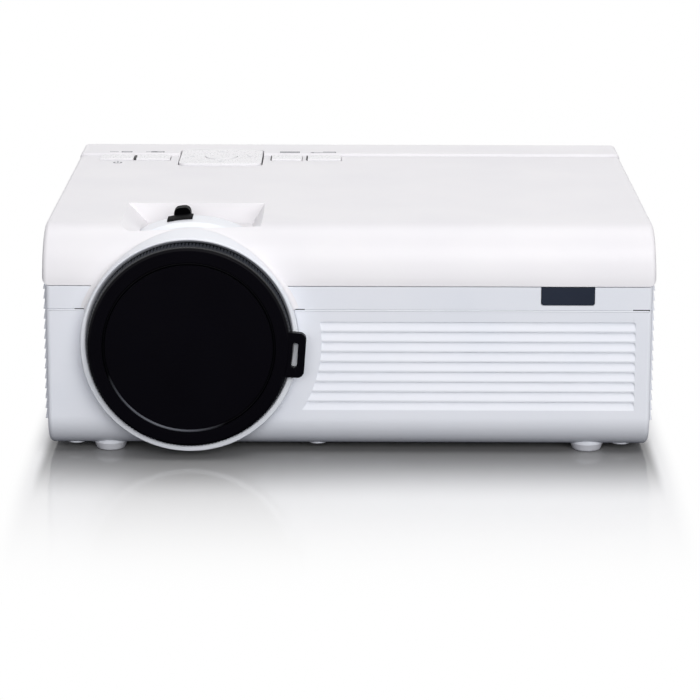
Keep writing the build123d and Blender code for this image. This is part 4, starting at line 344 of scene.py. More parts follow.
# Copper contacts with a flash of gold.
GOLD = drawn_metal("copper_gold_flashed_contacts", "#E0B85A", "#C79E45",
                   roughness=0.2, along="Y", line_mm=0.08)
# Galvanised sheet of the drive's case: dull zinc with faint crystals.
ZINC_SHEET = galvanised("steel_galvanised_drive_case", spangle_mm=7.0)
# The two circuit boards: glossy green lacquer over their tracks.
MAIN_MASK = solder_mask("fibreglass_green_main_board", MAIN_BOARD_TOP)
KEY_MASK = solder_mask("fibreglass_green_key_board", KEY_BOARD_TOP)
# Pressed acrylic of the two field lenses, which shows fine rings.
FRESNEL = ringed_acrylic("acrylic_pressed_flat_lens", ring_mm=0.6)
# Polished lens glass whose coating reflects violet.
LENS_GLASS = clear_glass("glass_coated_lens", "#E6F0EC", 0.02, "#B9A6E8")
# Heat-absorbing glass with a faint green tint.
PANEL_GLASS = clear_glass("glass_heat_filter", "#D5E4E2", 0.04)
# Each speaker's paper cone, ringed by its dark rubber edge.
LEFT_CONE = speaker_cone("paper_speaker_cone_left", "left_speaker")
RIGHT_CONE = speaker_cone("paper_speaker_cone_right", "right_speaker")


# ---------------------------------------------------------------- finish of the solids
EDGE_ANGLE = 32
# The louvres' slopes meet the front at a shallow angle, so the shell's edges count from 11 degrees.
SHALLOW_ANGLE = {"lower_shell": 11}


def dress(name, material, edge_mm):
    """Gives a solid its material, softened edges and smooth curves."""
    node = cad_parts[name]
    angle = math.radians(SHALLOW_ANGLE.get(name, EDGE_ANGLE))
    node.data.materials.clear()
    node.data.materials.append(material)
    for face in node.data.polygons:
        face.material_index = 0
        face.use_smooth = True
    weld = node.modifiers.new("weld", "WELD")
    weld.merge_threshold = 0.002 * MM
    if edge_mm:
        soft = node.modifiers.new("edges", "BEVEL")
        soft.limit_method = "ANGLE"
        soft.angle_limit = angle
        soft.width = edge_mm * MM
        soft.segments = 2
        soft.use_clamp_overlap = True
        soft.loop_slide = False
    else:
        split = node.modifiers.new("edges", "EDGE_SPLIT")
        split.split_angle = angle
    normals = node.modifiers.new("normals", "WEIGHTED_NORMAL")
    normals.weight = 80
    normals.keep_sharp = not edge_mm


# A material, the width of the softened edges, and the solids that have them.
FINISHES = (
    (COVER_ABS, 0.18, ("top_cover",)),
    (COVER_ABS, 0.15, ("tray_front",)),
    (SHELL_ABS, 0.15, ("left_front_band", "right_front_band", "lower_shell", "rear_panel")),
    (SHELL_ABS, 0.10, ("left_grille", "right_grille")),
    (COLLAR_ABS, 0.20, ("lens_collar",)),
    (GLOSS_ABS, 0.10, ("power_key", "source_key", "menu_key", "return_key", "direction_plate", "ok_key",
                       "eject_button")),
    (CAP_ABS, 0.20, ("lens_cap",)),
    (LEVER_PC, 0.25, ("focus_ring",)),
    (SMOKED, 0.10, ("infrared_window",)),
    (SILICONE, 0.0, ("rubber_feet",)),
    (RUBBER, 0.0, ("direction_pivot",)),
    (ZINC, 0.10, ("case_screws", "board_screws")),
    (BRASS, 0.15, ("tripod_insert",)),
    (NYLON, 0.20, ("light_tunnel",)),
    (NYLON, 0.15, ("lens_barrel", "exhaust_fan_frame", "intake_fan_frame")),
    (NYLON, 0.10, ("exhaust_fan_rotor", "intake_fan_rotor", "phones_jack", "video_jack", "power_socket")),
    (NYLON, 0.0, ("infrared_receiver",)),
    (LENS_GLASS, 0.0, ("front_lens", "rear_lens")),
    (FRESNEL, 0.0, ("front_fresnel", "rear_fresnel")),
    (PANEL_GLASS, 0.0, ("heat_glass",)),
    (LCD_GLASS, 0.0, ("lcd_panel",)),
    (REFLECTOR, 0.0, ("reflector_funnel",)),
    (ALUMINIUM, 0.0, ("led_board",)),
    (ALUMINIUM, 0.10, ("heat_sink",)),
    (MAIN_MASK, 0.0, ("main_board",)),
    (KEY_MASK, 0.0, ("key_board",)),
    (NICKEL, 0.08, ("hdmi_socket", "usb_socket")),
    (ZINC_SHEET, 0.08, ("drive_chassis", "drive_lid")),
    (ACETAL, 0.15, ("disc_tray",)),
    (ACETAL, 0.10, ("turntable", "pickup_sled")),
    (STAINLESS, 0.08, ("traverse_frame", "tray_runners")),
    (STAINLESS, 0.0, ("guide_rods", "sled_motor", "spindle_motor", "lead_screw")),
    (LEFT_CONE, 0.0, ("left_speaker",)),
    (RIGHT_CONE, 0.0, ("right_speaker",)),
)
for material, edge_mm, names in FINISHES:
    for name in names:
        dress(name, material, edge_mm)


# ---------------------------------------------------------------- tools for new pieces
MERGE = 0.0005


def finish_piece(name, shape, material, body, angle=30):
    """Turns a bmesh in millimetres into a piece that rides a body. Edges past the angle stay sharp."""
    bmesh.ops.remove_doubles(shape, verts=shape.verts[:], dist=MERGE)
    bmesh.ops.recalc_face_normals(shape, faces=shape.faces[:])
    for face in shape.faces:
        face.smooth = True
    for edge in shape.edges:
        if len(edge.link_faces) == 2 and edge.calc_face_angle() > math.radians(angle):
            edge.smooth = False
    bmesh.ops.scale(shape, vec=(MM, MM, MM), verts=shape.verts[:])
    mesh = bpy.data.meshes.new(name)
    shape.to_mesh(mesh)
    shape.free()
    mesh.materials.append(material)
    piece = bpy.data.objects.new(name, mesh)
    bpy.context.scene.collection.objects.link(piece)
    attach(piece, body)
    return piece


def rotation(degrees, axis):
    """A turn about an axis, for bmesh operators."""
    return Matrix.Rotation(math.radians(degrees), 3, axis)


def add_bar(shape, low, high, turn=0.0, soft=0.0):
    """Adds a block between two corners, turned about its own upright axis, with softened edges."""
    made = bmesh.ops.create_cube(shape, size=1.0)["verts"]
    size = [h - l for l, h in zip(low, high)]
    middle = [(l + h) / 2 for l, h in zip(low, high)]
    bmesh.ops.scale(shape, vec=size, verts=made)
    if soft:
        edges = list({edge for vert in made for edge in vert.link_edges})
        made = bmesh.ops.bevel(shape, geom=edges, offset=soft, offset_type="OFFSET", segments=2, profile=0.5,
                               affect="EDGES", material=-1)["verts"]
    if turn:
        bmesh.ops.rotate(shape, cent=(0, 0, 0), matrix=rotation(turn, "Z"), verts=made)
    bmesh.ops.translate(shape, vec=middle, verts=made)


def add_spun(shape, outline, middle, axis, steps, start=0.0, sweep=360.0):
    """Adds a closed outline of (radius, height) points turned round an axis, which is Y or Z."""
    across = Vector((1, 0, 0))
    along = Vector((0, 1, 0)) if axis == "Y" else Vector((0, 0, 1))
    # A positive angle runs from X towards Z about the axis Y, and from X towards Y about Z.
    sense = -1 if axis == "Y" else 1
    whole = abs(sweep) >= 360
    verts = [shape.verts.new(across * radius + along * height) for radius, height in outline]
    edges = [shape.edges.new((verts[i], verts[(i + 1) % len(verts)])) for i in range(len(verts))]
    bmesh.ops.rotate(shape, cent=(0, 0, 0), matrix=rotation(start * sense, along), verts=verts)
    made = set(verts)
    if not whole:
        shape.faces.new(verts)
    before = set(shape.verts)
    done = bmesh.ops.spin(shape, geom=verts + edges, cent=(0, 0, 0), axis=along, dvec=(0, 0, 0), steps=steps,
                          angle=math.radians(sweep * sense), use_merge=whole, use_duplicate=False)
    made.update(set(shape.verts) - before)
    if not whole:
        shape.faces.new([part for part in done["geom_last"] if isinstance(part, bmesh.types.BMVert)])
    made = [vert for vert in made if vert.is_valid]
    bmesh.ops.translate(shape, vec=middle, verts=made)
    return made


# ---------------------------------------------------------------- collar round the lens
COLLAR_RADIUS = 42.7
COLLAR_BORE = 40.2
COLLAR_END = FRONT + 17.0
LIP_Y = FRONT - 6.0
LIP_BACK = FRONT - 1.4
WEB_FRONT = FRONT + 3.0
WEB_BACK = FRONT + 5.0
SPIGOT_RADIUS = 37.1
SPIGOT_BORE = 35.3
SPIGOT_END = FRONT - 4.0
SLEEVE_BORE = 39.8
TUBE_RADIUS = 41.6
TUBE_END = FRONT + 40.5
TUBE_FOOT_Z = 5.3
CREST_RADIUS = 43.2
CREST_START = FRONT + 25.4
CREST_SLOPE = 2.4
CREST_SOFT = 0.4
COLLAR_STEPS = 144

# The lip's hollow, from the back to the front: the (radius, y) of each point above the cap, where the
# hollow is deep, and below the cap, where it is shallow.
LIP_HOLLOW = (
    ((COLLAR_BORE, LIP_BACK), (COLLAR_BORE, LIP_Y + 1.4)),
    ((COLLAR_BORE + 0.12, LIP_BACK - 0.5), (COLLAR_BORE + 0.02, LIP_Y + 0.9)),
    ((COLLAR_BORE + 0.7, LIP_BACK - 2.0), (COLLAR_BORE + 0.12, LIP_Y + 0.45)),
    ((COLLAR_BORE + 1.4, LIP_Y + 0.5), (COLLAR_BORE + 0.35, LIP_Y + 0.15)),
    ((COLLAR_BORE + 1.75, LIP_Y + 0.1), (COLLAR_BORE + 0.7, LIP_Y)),
)


def fill_hollow(shape):
    """Makes the lip's hollow shallow towards the foot of the collar. Its axis is Y through the origin."""
    for vert in shape.verts:
        radius = math.hypot(vert.co.x, vert.co.z)
        for (deep_radius, deep_y), (shallow_radius, shallow_y) in LIP_HOLLOW:
            if abs(radius - deep_radius) < 0.01 and abs(vert.co.y - deep_y) < 0.01:
                share = min(1.0, max(0.0, 0.75 - vert.co.z / radius))
                share = share * share * (3 - 2 * share)
                widened = (deep_radius + (shallow_radius - deep_radius) * share) / radius
                vert.co = (vert.co.x * widened, deep_y + (shallow_y - deep_y) * share, vert.co.z * widened)
                break


def raised_tube():
    """The tube over the focus ring, behind the collar, as a mesh. Its foot is cut level."""
    shape = bmesh.new()
    crest = [(SLEEVE_BORE, COLLAR_END), (TUBE_RADIUS, COLLAR_END), (TUBE_RADIUS, CREST_START - CREST_SLOPE),
             (CREST_RADIUS, CREST_START), (CREST_RADIUS, TUBE_END - CREST_SOFT),
             (CREST_RADIUS - CREST_SOFT, TUBE_END), (SLEEVE_BORE, TUBE_END)]
    add_spun(shape, crest, LENS_AXIS, "Y", COLLAR_STEPS)
    bmesh.ops.remove_doubles(shape, verts=shape.verts[:], dist=MERGE)
    bmesh.ops.bisect_plane(shape, geom=shape.verts[:] + shape.edges[:] + shape.faces[:], dist=0.0001,
                           plane_co=(0, 0, TUBE_FOOT_Z), plane_no=(0, 0, 1), clear_inner=True)
    bmesh.ops.holes_fill(shape, edges=[edge for edge in shape.edges if edge.is_boundary])
    mesh = bpy.data.meshes.new("raised_tube")
    shape.to_mesh(mesh)
    shape.free()
    return mesh


def make_collar():
    """The collar with its lip hollowed towards the cap, its inner spigot and the raised tube behind it."""
    shape = bmesh.new()
    front = [(COLLAR_RADIUS - 0.4, LIP_Y + 0.12), (COLLAR_RADIUS - 0.12, LIP_Y + 0.42),
             (COLLAR_RADIUS, LIP_Y + 0.9)]
    ring = [(COLLAR_RADIUS, COLLAR_END), (SLEEVE_BORE, COLLAR_END), (SLEEVE_BORE, WEB_BACK)]
    spigot = [(SPIGOT_BORE, WEB_BACK), (SPIGOT_BORE, SPIGOT_END), (SPIGOT_RADIUS, SPIGOT_END),
              (SPIGOT_RADIUS, WEB_FRONT), (COLLAR_BORE, WEB_FRONT)]
    hollow = [deep for deep, shallow in LIP_HOLLOW]
    add_spun(shape, front + ring + spigot + hollow, (0, 0, 0), "Y", COLLAR_STEPS)
    fill_hollow(shape)
    bmesh.ops.translate(shape, vec=LENS_AXIS, verts=shape.verts[:])
    tube = raised_tube()
    shape.from_mesh(tube)
    bpy.data.meshes.remove(tube)
    collar = finish_piece("lens_collar_moulding", shape, COLLAR_ABS, "casing")
    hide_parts("lens_collar")


# How far the fillet reaches from the corner at the collar's top, and how much further at its sides.
FILLET_LEAST = 0.1
FILLET_GROWTH = 2.3
FILLET_LIFT = 0.03
FILLET_ROWS = (0.0, 0.12, 0.3, 0.55, 0.8, 1.0)


def nose_depth(height):
    """How far back the casing's rounded front edge lies at a height."""
    rise = max(0.0, min(height, BODY_TOP) - (BODY_TOP - NOSE_RADIUS))
    return FRONT + NOSE_RADIUS - math.sqrt(max(0.0, NOSE_RADIUS ** 2 - rise ** 2))


def make_collar_fillet():
    """The soft fillet between collar and casing, above the seam. It thins out towards the top."""
    start = math.degrees(math.asin((SEAM_Z - LENS_Z) / COLLAR_RADIUS))
    shape = bmesh.new()
    # A row's height holds its share of the fillet's arc, from the collar at 0 to the casing at 1,
    # until its place is worked out below. The last row closes the fillet inside the casing.
    outline = [(COLLAR_RADIUS + 0.02 + 0.001 * step, share) for step, share in enumerate(FILLET_ROWS)]
    outline.append((COLLAR_RADIUS - 0.1, 1.2))
    add_spun(shape, outline, (0, 0, 0), "Y", 72, start, 180 - 2 * start)
    for vert in shape.verts:
        share = vert.co.y
        turn = math.atan2(vert.co.z, vert.co.x)
        if share > 1.1:
            radius = COLLAR_RADIUS - 0.1
            y = nose_depth(LENS_Z + COLLAR_RADIUS * math.sin(turn)) + 0.3
        else:
            reach = FILLET_LEAST + FILLET_GROWTH * math.cos(turn) ** 2
            radius = COLLAR_RADIUS + FILLET_LIFT + reach * (1 - math.cos(share * math.pi / 2))
            y = nose_depth(LENS_Z + radius * math.sin(turn)) - FILLET_LIFT
            y -= reach * (1 - math.sin(share * math.pi / 2))
        vert.co = (LENS_X + radius * math.cos(turn), y, LENS_Z + radius * math.sin(turn))
    finish_piece("collar_fillet", shape, COVER_ABS, "casing", 60)


make_collar()
make_collar_fillet()


# ---------------------------------------------------------------- lens cap
GRIP_RADIUS = 39.8
GRIP_RIDGES = 180
GRIP_RIDGE_HEIGHT = 0.3
GROOVE_LIP_RADIUS = 0.58
GROOVE_LIP_HEIGHT = 0.55
GROOVE_LIP_DEPTH = 0.62


def make_knurled_grip():
    """The cap's knurled edge. Every second row of its points stands out as a ridge."""
    shape = bmesh.new()
    outline = [(GRIP_RADIUS - 0.7, CAP_FACE_Y + 1.3), (GRIP_RADIUS - 0.3, CAP_FACE_Y + 1.5),
               (GRIP_RADIUS, CAP_FACE_Y + 4.6), (GRIP_RADIUS, CAP_FACE_Y + 8.4),
               (GRIP_RADIUS - 0.3, CAP_FACE_Y + 8.8), (GRIP_RADIUS - 0.8, CAP_FACE_Y + 8.8)]
    add_spun(shape, outline, (0, 0, 0), "Y", GRIP_RIDGES * 2)
    for vert in shape.verts:
        radius = math.hypot(vert.co.x, vert.co.z)
        row = round(math.degrees(math.atan2(vert.co.z, vert.co.x)) / 180 * GRIP_RIDGES)
        if radius > GRIP_RADIUS - 0.5 and row % 2:
            raised = 1 + GRIP_RIDGE_HEIGHT / radius
            vert.co = (vert.co.x * raised, vert.co.y, vert.co.z * raised)
    bmesh.ops.translate(shape, vec=LENS_AXIS, verts=shape.verts[:])
    finish_piece("cap_knurled_grip", shape, GRIP_ABS, "cap", 25)


def make_groove_lip():
    """The rounded lip in the cap's groove."""
    shape = bmesh.new()
    outline = [(GROOVE_RADIUS + GROOVE_LIP_RADIUS * math.cos(math.radians(turn)),
                CAP_FACE_Y + GROOVE_LIP_DEPTH + GROOVE_LIP_HEIGHT * math.sin(math.radians(turn)))
               for turn in range(0, 360, 36)]
    add_spun(shape, outline, LENS_AXIS, "Y", 128)
    finish_piece("cap_groove_lip", shape, GROOVE_ABS, "cap", 60)


make_knurled_grip()
make_groove_lip()


# ---------------------------------------------------------------- printed signs on top
INK_LIFT = 0.03
INK_ROOT = 0.2
SIGN_Y = 85.2
POWER_SIGN_X = -102.0
SOURCE_SIGN_X = -86.0
MENU_SIGN_X = -26.75
RETURN_SIGN_X = -12.0
MAINS_SIGN_AT = (-101.9, 62.2)
PAD_ARROW_REACH = 12.6
PAD_ARROW_RADIUS = 1.5


def add_mark(shape, x0, x1, y0, y1, turn=0.0):
    """Adds a printed bar on the raised strip."""
    add_bar(shape, (x0, y0, STRIP_TOP - INK_ROOT), (x1, y1, STRIP_TOP + INK_LIFT), turn)


def add_line(shape, x0, x1, y, width=0.85):
    """Adds a printed line along X on the raised strip."""
    add_mark(shape, x0, x1, y - width / 2, y + width / 2)


def add_arrow_head(shape, x0, x1, y, turn):
    """Adds the two strokes of an arrow head, which points right where the turn is negative."""
    add_mark(shape, x0, x1, y + 0.2, y + 0.7, turn)
    add_mark(shape, x0, x1, y - 0.7, y - 0.2, -turn)


def make_key_signs():
    """The printed signs behind the four keys."""
    shape = bmesh.new()
    # A bar and a long ring, for on and off.
    x = POWER_SIGN_X
    add_line(shape, x - 5.0, x - 1.2, SIGN_Y)
    add_line(shape, x + 0.4, x + 4.8, SIGN_Y + 0.9)
    add_line(shape, x + 0.4, x + 4.8, SIGN_Y - 0.9)
    add_mark(shape, x + 0.2, x + 0.7, SIGN_Y - 1.1, SIGN_Y + 1.1)
    add_mark(shape, x + 4.5, x + 5.0, SIGN_Y - 1.1, SIGN_Y + 1.1)
    # A screen with an arrow going in.
    x = SOURCE_SIGN_X
    add_line(shape, x - 2.6, x + 3.2, SIGN_Y + 1.0)
    add_line(shape, x - 2.6, x + 3.2, SIGN_Y - 1.0)
    add_mark(shape, x + 2.8, x + 3.3, SIGN_Y - 1.2, SIGN_Y + 1.2)
    add_line(shape, x - 4.9, x, SIGN_Y)
    add_arrow_head(shape, x - 1.2, x + 0.1, SIGN_Y, -40)
    # Three lines of a list.
    for y in (SIGN_Y - 1.4, SIGN_Y, SIGN_Y + 1.4):
        add_line(shape, MENU_SIGN_X - 4.45, MENU_SIGN_X + 4.45, y)
    # A long arrow that turns back.
    x = RETURN_SIGN_X
    add_line(shape, x - 5.4, x + 5.6, SIGN_Y - 0.9)
    add_line(shape, x, x + 5.6, SIGN_Y + 1.1)
    add_mark(shape, x + 5.3, x + 5.8, SIGN_Y - 1.1, SIGN_Y + 1.3)
    add_arrow_head(shape, x - 5.6, x - 4.0, SIGN_Y - 0.9, 40)
    finish_piece("printed_key_signs", shape, INK, "casing")


def make_mains_sign():
    """The printed ring with a bar in front of the power key."""
    shape = bmesh.new()
    x, y = MAINS_SIGN_AT
    low, high = BODY_TOP - INK_ROOT, BODY_TOP + INK_LIFT
    add_spun(shape, [(1.3, low), (2.0, low), (2.0, high), (1.3, high)], (x, y, 0), "Z", 40, 125, 290)
    add_bar(shape, (x - 0.35, y, low), (x + 0.35, y + 2.8, high))
    finish_piece("printed_mains_sign", shape, INK, "casing")


def make_pad_arrows():
    """Four arrowheads printed on the direction plate."""
    shape = bmesh.new()
    low = STRIP_TOP - INK_ROOT
    for turn in (0, 90, 180, 270):
        head = bmesh.ops.create_circle(shape, cap_ends=True, segments=3, radius=PAD_ARROW_RADIUS,
                                       matrix=Matrix.Translation((0, PAD_ARROW_REACH, low)))["verts"]
        faces = list({face for vert in head for face in vert.link_faces})
        lifted = [part for part in bmesh.ops.extrude_face_region(shape, geom=faces)["geom"]
                  if isinstance(part, bmesh.types.BMVert)]
        bmesh.ops.translate(shape, vec=(0, 0, INK_ROOT + INK_LIFT), verts=lifted)
        bmesh.ops.rotate(shape, cent=(0, 0, 0), matrix=rotation(turn, "Z"), verts=head + lifted)
    bmesh.ops.translate(shape, vec=(PAD_X, PAD_Y, 0), verts=shape.verts[:])
    finish_piece("printed_pad_arrows", shape, PALE_INK, "plate")


make_key_signs()
make_mains_sign()
make_pad_arrows()


# ---------------------------------------------------------------- seals and the lever's skirt
KEY_GAPS = ((-95.35, -94.4), (-35.0, -34.6), (-19.25, -18.7))
KEY_FRONT = 69.2
KEY_BACK = 79.3
PLATE_SEAL_SPAN = (-74.6, -39.0)
PLATE_SEAL_THICK = 0.43
PLATE_FRONT_SEAL_Y = 54.42
PLATE_BACK_SEAL_Y = 91.15
SEAL_ROOT = 1.5
SEAL_DROP = 0.02
KEY_LIP_RISE = 0.5
SKIRT_RADIUS = 43.32
SKIRT_THICK = 0.48
SKIRT_FRONT = FRONT + 30.7
SKIRT_BACK = FRONT + 40.6
SKIRT_START = 90.4
SKIRT_SWEEP = 13.4


def make_key_lips():
    """The black silicone lips that show between the keys."""
    shape = bmesh.new()
    for x0, x1 in KEY_GAPS:
        add_bar(shape, (x0, KEY_FRONT, BODY_TOP - SEAL_ROOT), (x1, KEY_BACK, BODY_TOP + KEY_LIP_RISE),
                soft=0.12)
    finish_piece("key_seals", shape, RUBBER, "casing", 60)


def make_plate_seals():
    """The white seals before and behind the direction plate."""
    shape = bmesh.new()
    x0, x1 = PLATE_SEAL_SPAN
    for y, top in ((PLATE_FRONT_SEAL_Y, BODY_TOP), (PLATE_BACK_SEAL_Y, STRIP_TOP)):
        add_bar(shape, (x0, y, top - SEAL_ROOT), (x1, y + PLATE_SEAL_THICK, top - SEAL_DROP), soft=0.1)
    finish_piece("direction_plate_seals", shape, COVER_ABS, "casing", 60)


def make_lever_skirt():
    """The lever's curved skirt, which slides over the raised tube."""
    shape = bmesh.new()
    top = SKIRT_RADIUS + SKIRT_THICK
    outline = [(SKIRT_RADIUS, SKIRT_FRONT + 0.3), (SKIRT_RADIUS + 0.18, SKIRT_FRONT),
               (top - 0.08, SKIRT_FRONT + 0.5), (top, SKIRT_BACK), (SKIRT_RADIUS, SKIRT_BACK)]
    add_spun(shape, outline, LENS_AXIS, "Y", 12, SKIRT_START, SKIRT_SWEEP)
    finish_piece("focus_lever_skirt", shape, LEVER_PC, "focus")


make_key_lips()
make_plate_seals()
make_lever_skirt()


# ---------------------------------------------------------------- sockets on the back
PORT_FACE = solid_box("hdmi_socket")[1][1]
# The count, pitch and width of each flat socket's contacts.
CONTACTS = {"usb_socket": (4, 2.3, 1.0), "hdmi_socket": (9, 1.1, 0.56)}
CONTACT_SETBACK = 2.3
CONTACT_REACH = 9.0
# The height of the tongue's top, as a share of the socket's.
TONGUE_SHARE = 0.66


def make_contacts():
    """Gold contacts on the tongues of the two flat sockets."""
    shape = bmesh.new()
    for name, (count, pitch, width) in CONTACTS.items():
        low, high = solid_box(name)
        top = low[2] + (high[2] - low[2]) * TONGUE_SHARE
        for step in range(count):
            x = (low[0] + high[0]) / 2 + (step - (count - 1) / 2) * pitch
            add_bar(shape, (x - width / 2, PORT_FACE - CONTACT_REACH, top - 0.05),
                    (x + width / 2, PORT_FACE - CONTACT_SETBACK, top + 0.1))
    finish_piece("socket_contacts", shape, GOLD, "casing")


def make_jack_springs():
    """The gold spring rings in the two round sockets."""
    shape = bmesh.new()
    outline = [(1.45, PORT_FACE - 1.6), (1.45, PORT_FACE - 0.9), (1.6, PORT_FACE - 0.7),
               (1.85, PORT_FACE - 0.7), (1.85, PORT_FACE - 1.6)]
    for name in ("video_jack", "phones_jack"):
        x, z = solid_middle(name)[0::2]
        add_spun(shape, outline, (x, 0, z), "Y", 32)
    finish_piece("jack_spring_rings", shape, GOLD, "casing")


def make_power_pin():
    """The nickel sleeve on the power socket's pin, with its chamfered tip."""
    shape = bmesh.new()
    outline = [(0.4, PORT_FACE - 10.0), (1.03, PORT_FACE - 10.0), (1.03, PORT_FACE - 1.6),
               (0.75, PORT_FACE - 1.0), (0.4, PORT_FACE - 0.95)]
    x, z = solid_middle("power_socket")[0::2]
    add_spun(shape, outline, (x, 0, z), "Y", 24)
    finish_piece("power_pin_sleeve", shape, NICKEL, "casing")


make_contacts()
make_jack_springs()
make_power_pin()


# ---------------------------------------------------------------- seam
SEAM_END_X = 117.5
# Half the collar's width where the seam meets it.
COLLAR_REACH = math.sqrt(42.9 ** 2 - (SEAM_Z - LENS_Z) ** 2)
COLLAR_LEFT = LENS_X - COLLAR_REACH
COLLAR_RIGHT = LENS_X + COLLAR_REACH


def make_seam_edge():
    """The lower shell's rolled top edge."""
    shape = bmesh.new()
    for x0, x1 in ((-SEAM_END_X, COLLAR_LEFT - 0.6), (COLLAR_RIGHT + 0.6, SEAM_END_X)):
        add_bar(shape, (x0, FRONT - 0.16, SEAM_Z - 0.8), (x1, FRONT + 0.6, SEAM_Z - 0.16), soft=0.3)
    finish_piece("seam_rolled_edge", shape, COLLAR_ABS, "casing", 60)


def make_seam_painted_shadow():
    """Black strips of painted shadow where the seam widens, beside the collar and at the right corner."""
    shape = bmesh.new()
    for x0, x1 in ((COLLAR_LEFT - 4.2, COLLAR_LEFT - 0.2), (COLLAR_RIGHT + 0.2, COLLAR_RIGHT + 4.2),
                   (111.0, 117.6)):
        add_bar(shape, (x0, FRONT - 0.04, SEAM_Z - 0.12), (x1, FRONT + 1.0, SEAM_Z + 0.24))
    finish_piece("seam_painted_shadow", shape, RUBBER, "casing")


make_seam_edge()
make_seam_painted_shadow()


# ---------------------------------------------------------------- studio
# The studio's own places and sizes are in metres.
FLOOR_RADIUS = 6.0
# Half the width and depth of the object's footprint, from which the floor's fade is counted.
FOOTPRINT = (0.118, 0.09, 0)
# How far from the footprint the floor turns from lit white acrylic to plain white.
FLOOR_FADE = 0.2
# How far the shade beside the object reaches, and how light the acrylic is in it and past it.
FLOOR_SHADE = 0.075
SHADE_TONE = 0.30
OPEN_TONE = 0.93
# A step to the side counts as many steps ahead, so that the lit strip is hardly wider than the object.
SIDEWAYS = 16.0
PAPER_WHITE = (1, 1, 1, 1)
# What the floor and the surround throw back on the object: less than they show to the camera.
FLOOR_BOUNCE = (0.07, 0.076, 0.092, 1)
SURROUND_TINT = (0.96, 0.955, 1.0, 1)
SURROUND_LIGHT = 0.34
LAMPS_AIM = Vector((0, 0, 0.04))
# For each lamp: its name, place, width and height, and watts.
LAMPS = (("key_lamp", (0.35, -0.8, 1.35), (1.0, 0.7), 5.75),
         ("front_lamp", (0.35, -1.65, 0.60), (2.2, 0.6), 19.6),
         ("top_lamp", (0.0, 0.6, 1.4), (1.4, 0.8), 4.4),
         ("back_lamp", (-0.4, 1.7, 0.45), (2.2, 0.6), 10.0))
# The two low lamps would mirror in the level top when it is seen from the other side.
UNMIRRORED = ("front_lamp", "back_lamp")


def floor_acrylic():
    """Polished white acrylic, shaded close to the object, that fades to plain white further out."""
    material = bpy.data.materials.new("acrylic_white_floor")
    material.use_nodes = True
    tree = material.node_tree
    tree.nodes.clear()
    place = add_node(tree, "ShaderNodeTexCoord")
    path = add_node(tree, "ShaderNodeLightPath")
    mirrored = add_node(tree, "ShaderNodeVectorMath", {"operation": "ABSOLUTE"}, {0: (place, "Object")})
    past = add_node(tree, "ShaderNodeVectorMath", {"operation": "SUBTRACT", 1: FOOTPRINT},
                    {0: (mirrored, "Vector")})
    outside = add_node(tree, "ShaderNodeVectorMath", {"operation": "MAXIMUM", 1: (0, 0, 0)},
                       {0: (past, "Vector")})
    weighed = add_node(tree, "ShaderNodeVectorMath", {"operation": "MULTIPLY", 1: (SIDEWAYS, 1.0, 0)},
                       {0: (outside, "Vector")})
    away = add_node(tree, "ShaderNodeVectorMath", {"operation": "LENGTH"}, {0: (weighed, "Vector")})
    fade = add_node(tree, "ShaderNodeMapRange",
                    {"interpolation_type": "SMOOTHERSTEP", "From Min": 0.0, "From Max": FLOOR_FADE},
                    {"Value": (away, "Value")})
    # The shade is drawn, not cast, so that the floor is as dark beside the object as in the photograph.
    shade = add_node(tree, "ShaderNodeMapRange",
                     {"interpolation_type": "SMOOTHSTEP", "From Min": 0.0, "From Max": FLOOR_SHADE,
                      "To Min": SHADE_TONE, "To Max": OPEN_TONE}, {"Value": (away, "Value")})
    lit = add_node(tree, "ShaderNodeBsdfDiffuse", {}, {"Color": (shade, "Result")})
    mirror = add_node(tree, "ShaderNodeBsdfGlossy", {"Roughness": 0.08, "Color": PAPER_WHITE})
    polished = add_node(tree, "ShaderNodeMixShader", {0: 0.12}, {1: (lit, 0), 2: (mirror, 0)})
    plain = add_node(tree, "ShaderNodeEmission", {"Color": PAPER_WHITE, "Strength": 1.0})
    seen = add_node(tree, "ShaderNodeMixShader", {}, {0: (fade, "Result"), 1: (polished, 0), 2: (plain, 0)})
    unseen = add_node(tree, "ShaderNodeBsdfDiffuse", {"Color": FLOOR_BOUNCE})
    choice = add_node(tree, "ShaderNodeMixShader", {},
                      {0: (path, "Is Camera Ray"), 1: (unseen, 0), 2: (seen, 0)})
    add_node(tree, "ShaderNodeOutputMaterial", {}, {"Surface": (choice, 0)})
    return material


def make_floor():
    """A wide round floor under the object."""
    shape = bmesh.new()
    bmesh.ops.create_circle(shape, cap_ends=True, segments=96, radius=FLOOR_RADIUS)
    mesh = bpy.data.meshes.new("studio_floor")
    shape.to_mesh(mesh)
    shape.free()
    mesh.materials.append(floor_acrylic())
    floor = bpy.data.objects.new("studio_floor", mesh)
    bpy.context.scene.collection.objects.link(floor)


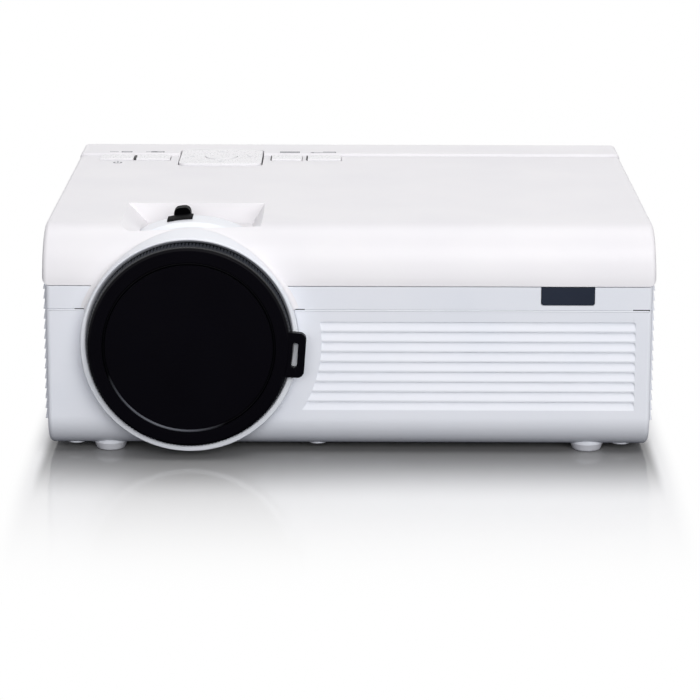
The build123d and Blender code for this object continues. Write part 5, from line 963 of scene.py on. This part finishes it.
def make_surround():
    """A world that is white to the camera, in reflections and through glass, and gives a soft light."""
    world = bpy.data.worlds.new("studio_surround")
    bpy.context.scene.world = world
    world.use_nodes = True
    tree = world.node_tree
    tree.nodes.clear()
    path = add_node(tree, "ShaderNodeLightPath")
    straight = add_node(tree, "ShaderNodeMath", {"operation": "MAXIMUM"},
                        {0: (path, "Is Camera Ray"), 1: (path, "Is Glossy Ray")})
    through = add_node(tree, "ShaderNodeMath", {"operation": "MAXIMUM"},
                       {0: (straight, "Value"), 1: (path, "Is Transmission Ray")})
    shown = add_node(tree, "ShaderNodeBackground", {"Color": PAPER_WHITE, "Strength": 1.0})
    light = add_node(tree, "ShaderNodeBackground", {"Color": SURROUND_TINT, "Strength": SURROUND_LIGHT})
    choice = add_node(tree, "ShaderNodeMixShader", {},
                      {0: (through, "Value"), 1: (light, 0), 2: (shown, 0)})
    add_node(tree, "ShaderNodeOutputWorld", {}, {"Surface": (choice, 0)})


def make_lamps():
    """Soft lamps above, in front and behind, all turned to the object."""
    for name, place, (width, height), watts in LAMPS:
        lamp = bpy.data.lights.new(name, "AREA")
        lamp.shape = "RECTANGLE"
        lamp.size = width
        lamp.size_y = height
        lamp.energy = watts
        lamp_object = bpy.data.objects.new(name, lamp)
        lamp_object.location = place
        aim = LAMPS_AIM - Vector(place)
        lamp_object.rotation_euler = aim.to_track_quat("-Z", "Y").to_euler()
        lamp_object.visible_glossy = name not in UNMIRRORED
        bpy.context.scene.collection.objects.link(lamp_object)


# ---------------------------------------------------------------- camera
CAMERA_AT = (0.0012, -1.2784, 0.3165)
CAMERA_LENS = 159.0
SENSOR_WIDTH = 36.0
# The camera's tilt below level, its swing to the left and its roll, in degrees.
CAMERA_TILT = 13.03
CAMERA_SWING = 0.038
CAMERA_ROLL = 0.163


def make_camera():
    """A long lens that looks slightly down on the object's front."""
    camera = bpy.data.cameras.new("camera")
    camera.lens = CAMERA_LENS
    camera.sensor_width = SENSOR_WIDTH
    camera.clip_start = 0.05
    camera.clip_end = 50.0
    camera_object = bpy.data.objects.new("camera", camera)
    camera_object.location = CAMERA_AT
    tilt = Matrix.Rotation(math.radians(90 - CAMERA_TILT), 4, "X")
    swing = Matrix.Rotation(math.radians(CAMERA_SWING), 4, "Z")
    roll = Matrix.Rotation(math.radians(CAMERA_ROLL), 4, "Z")
    camera_object.rotation_euler = (swing @ tilt @ roll).to_euler()
    bpy.context.scene.collection.objects.link(camera_object)
    bpy.context.scene.camera = camera_object


make_floor()
make_surround()
make_lamps()
make_camera()
bpy.context.scene.view_settings.view_transform = "Standard"
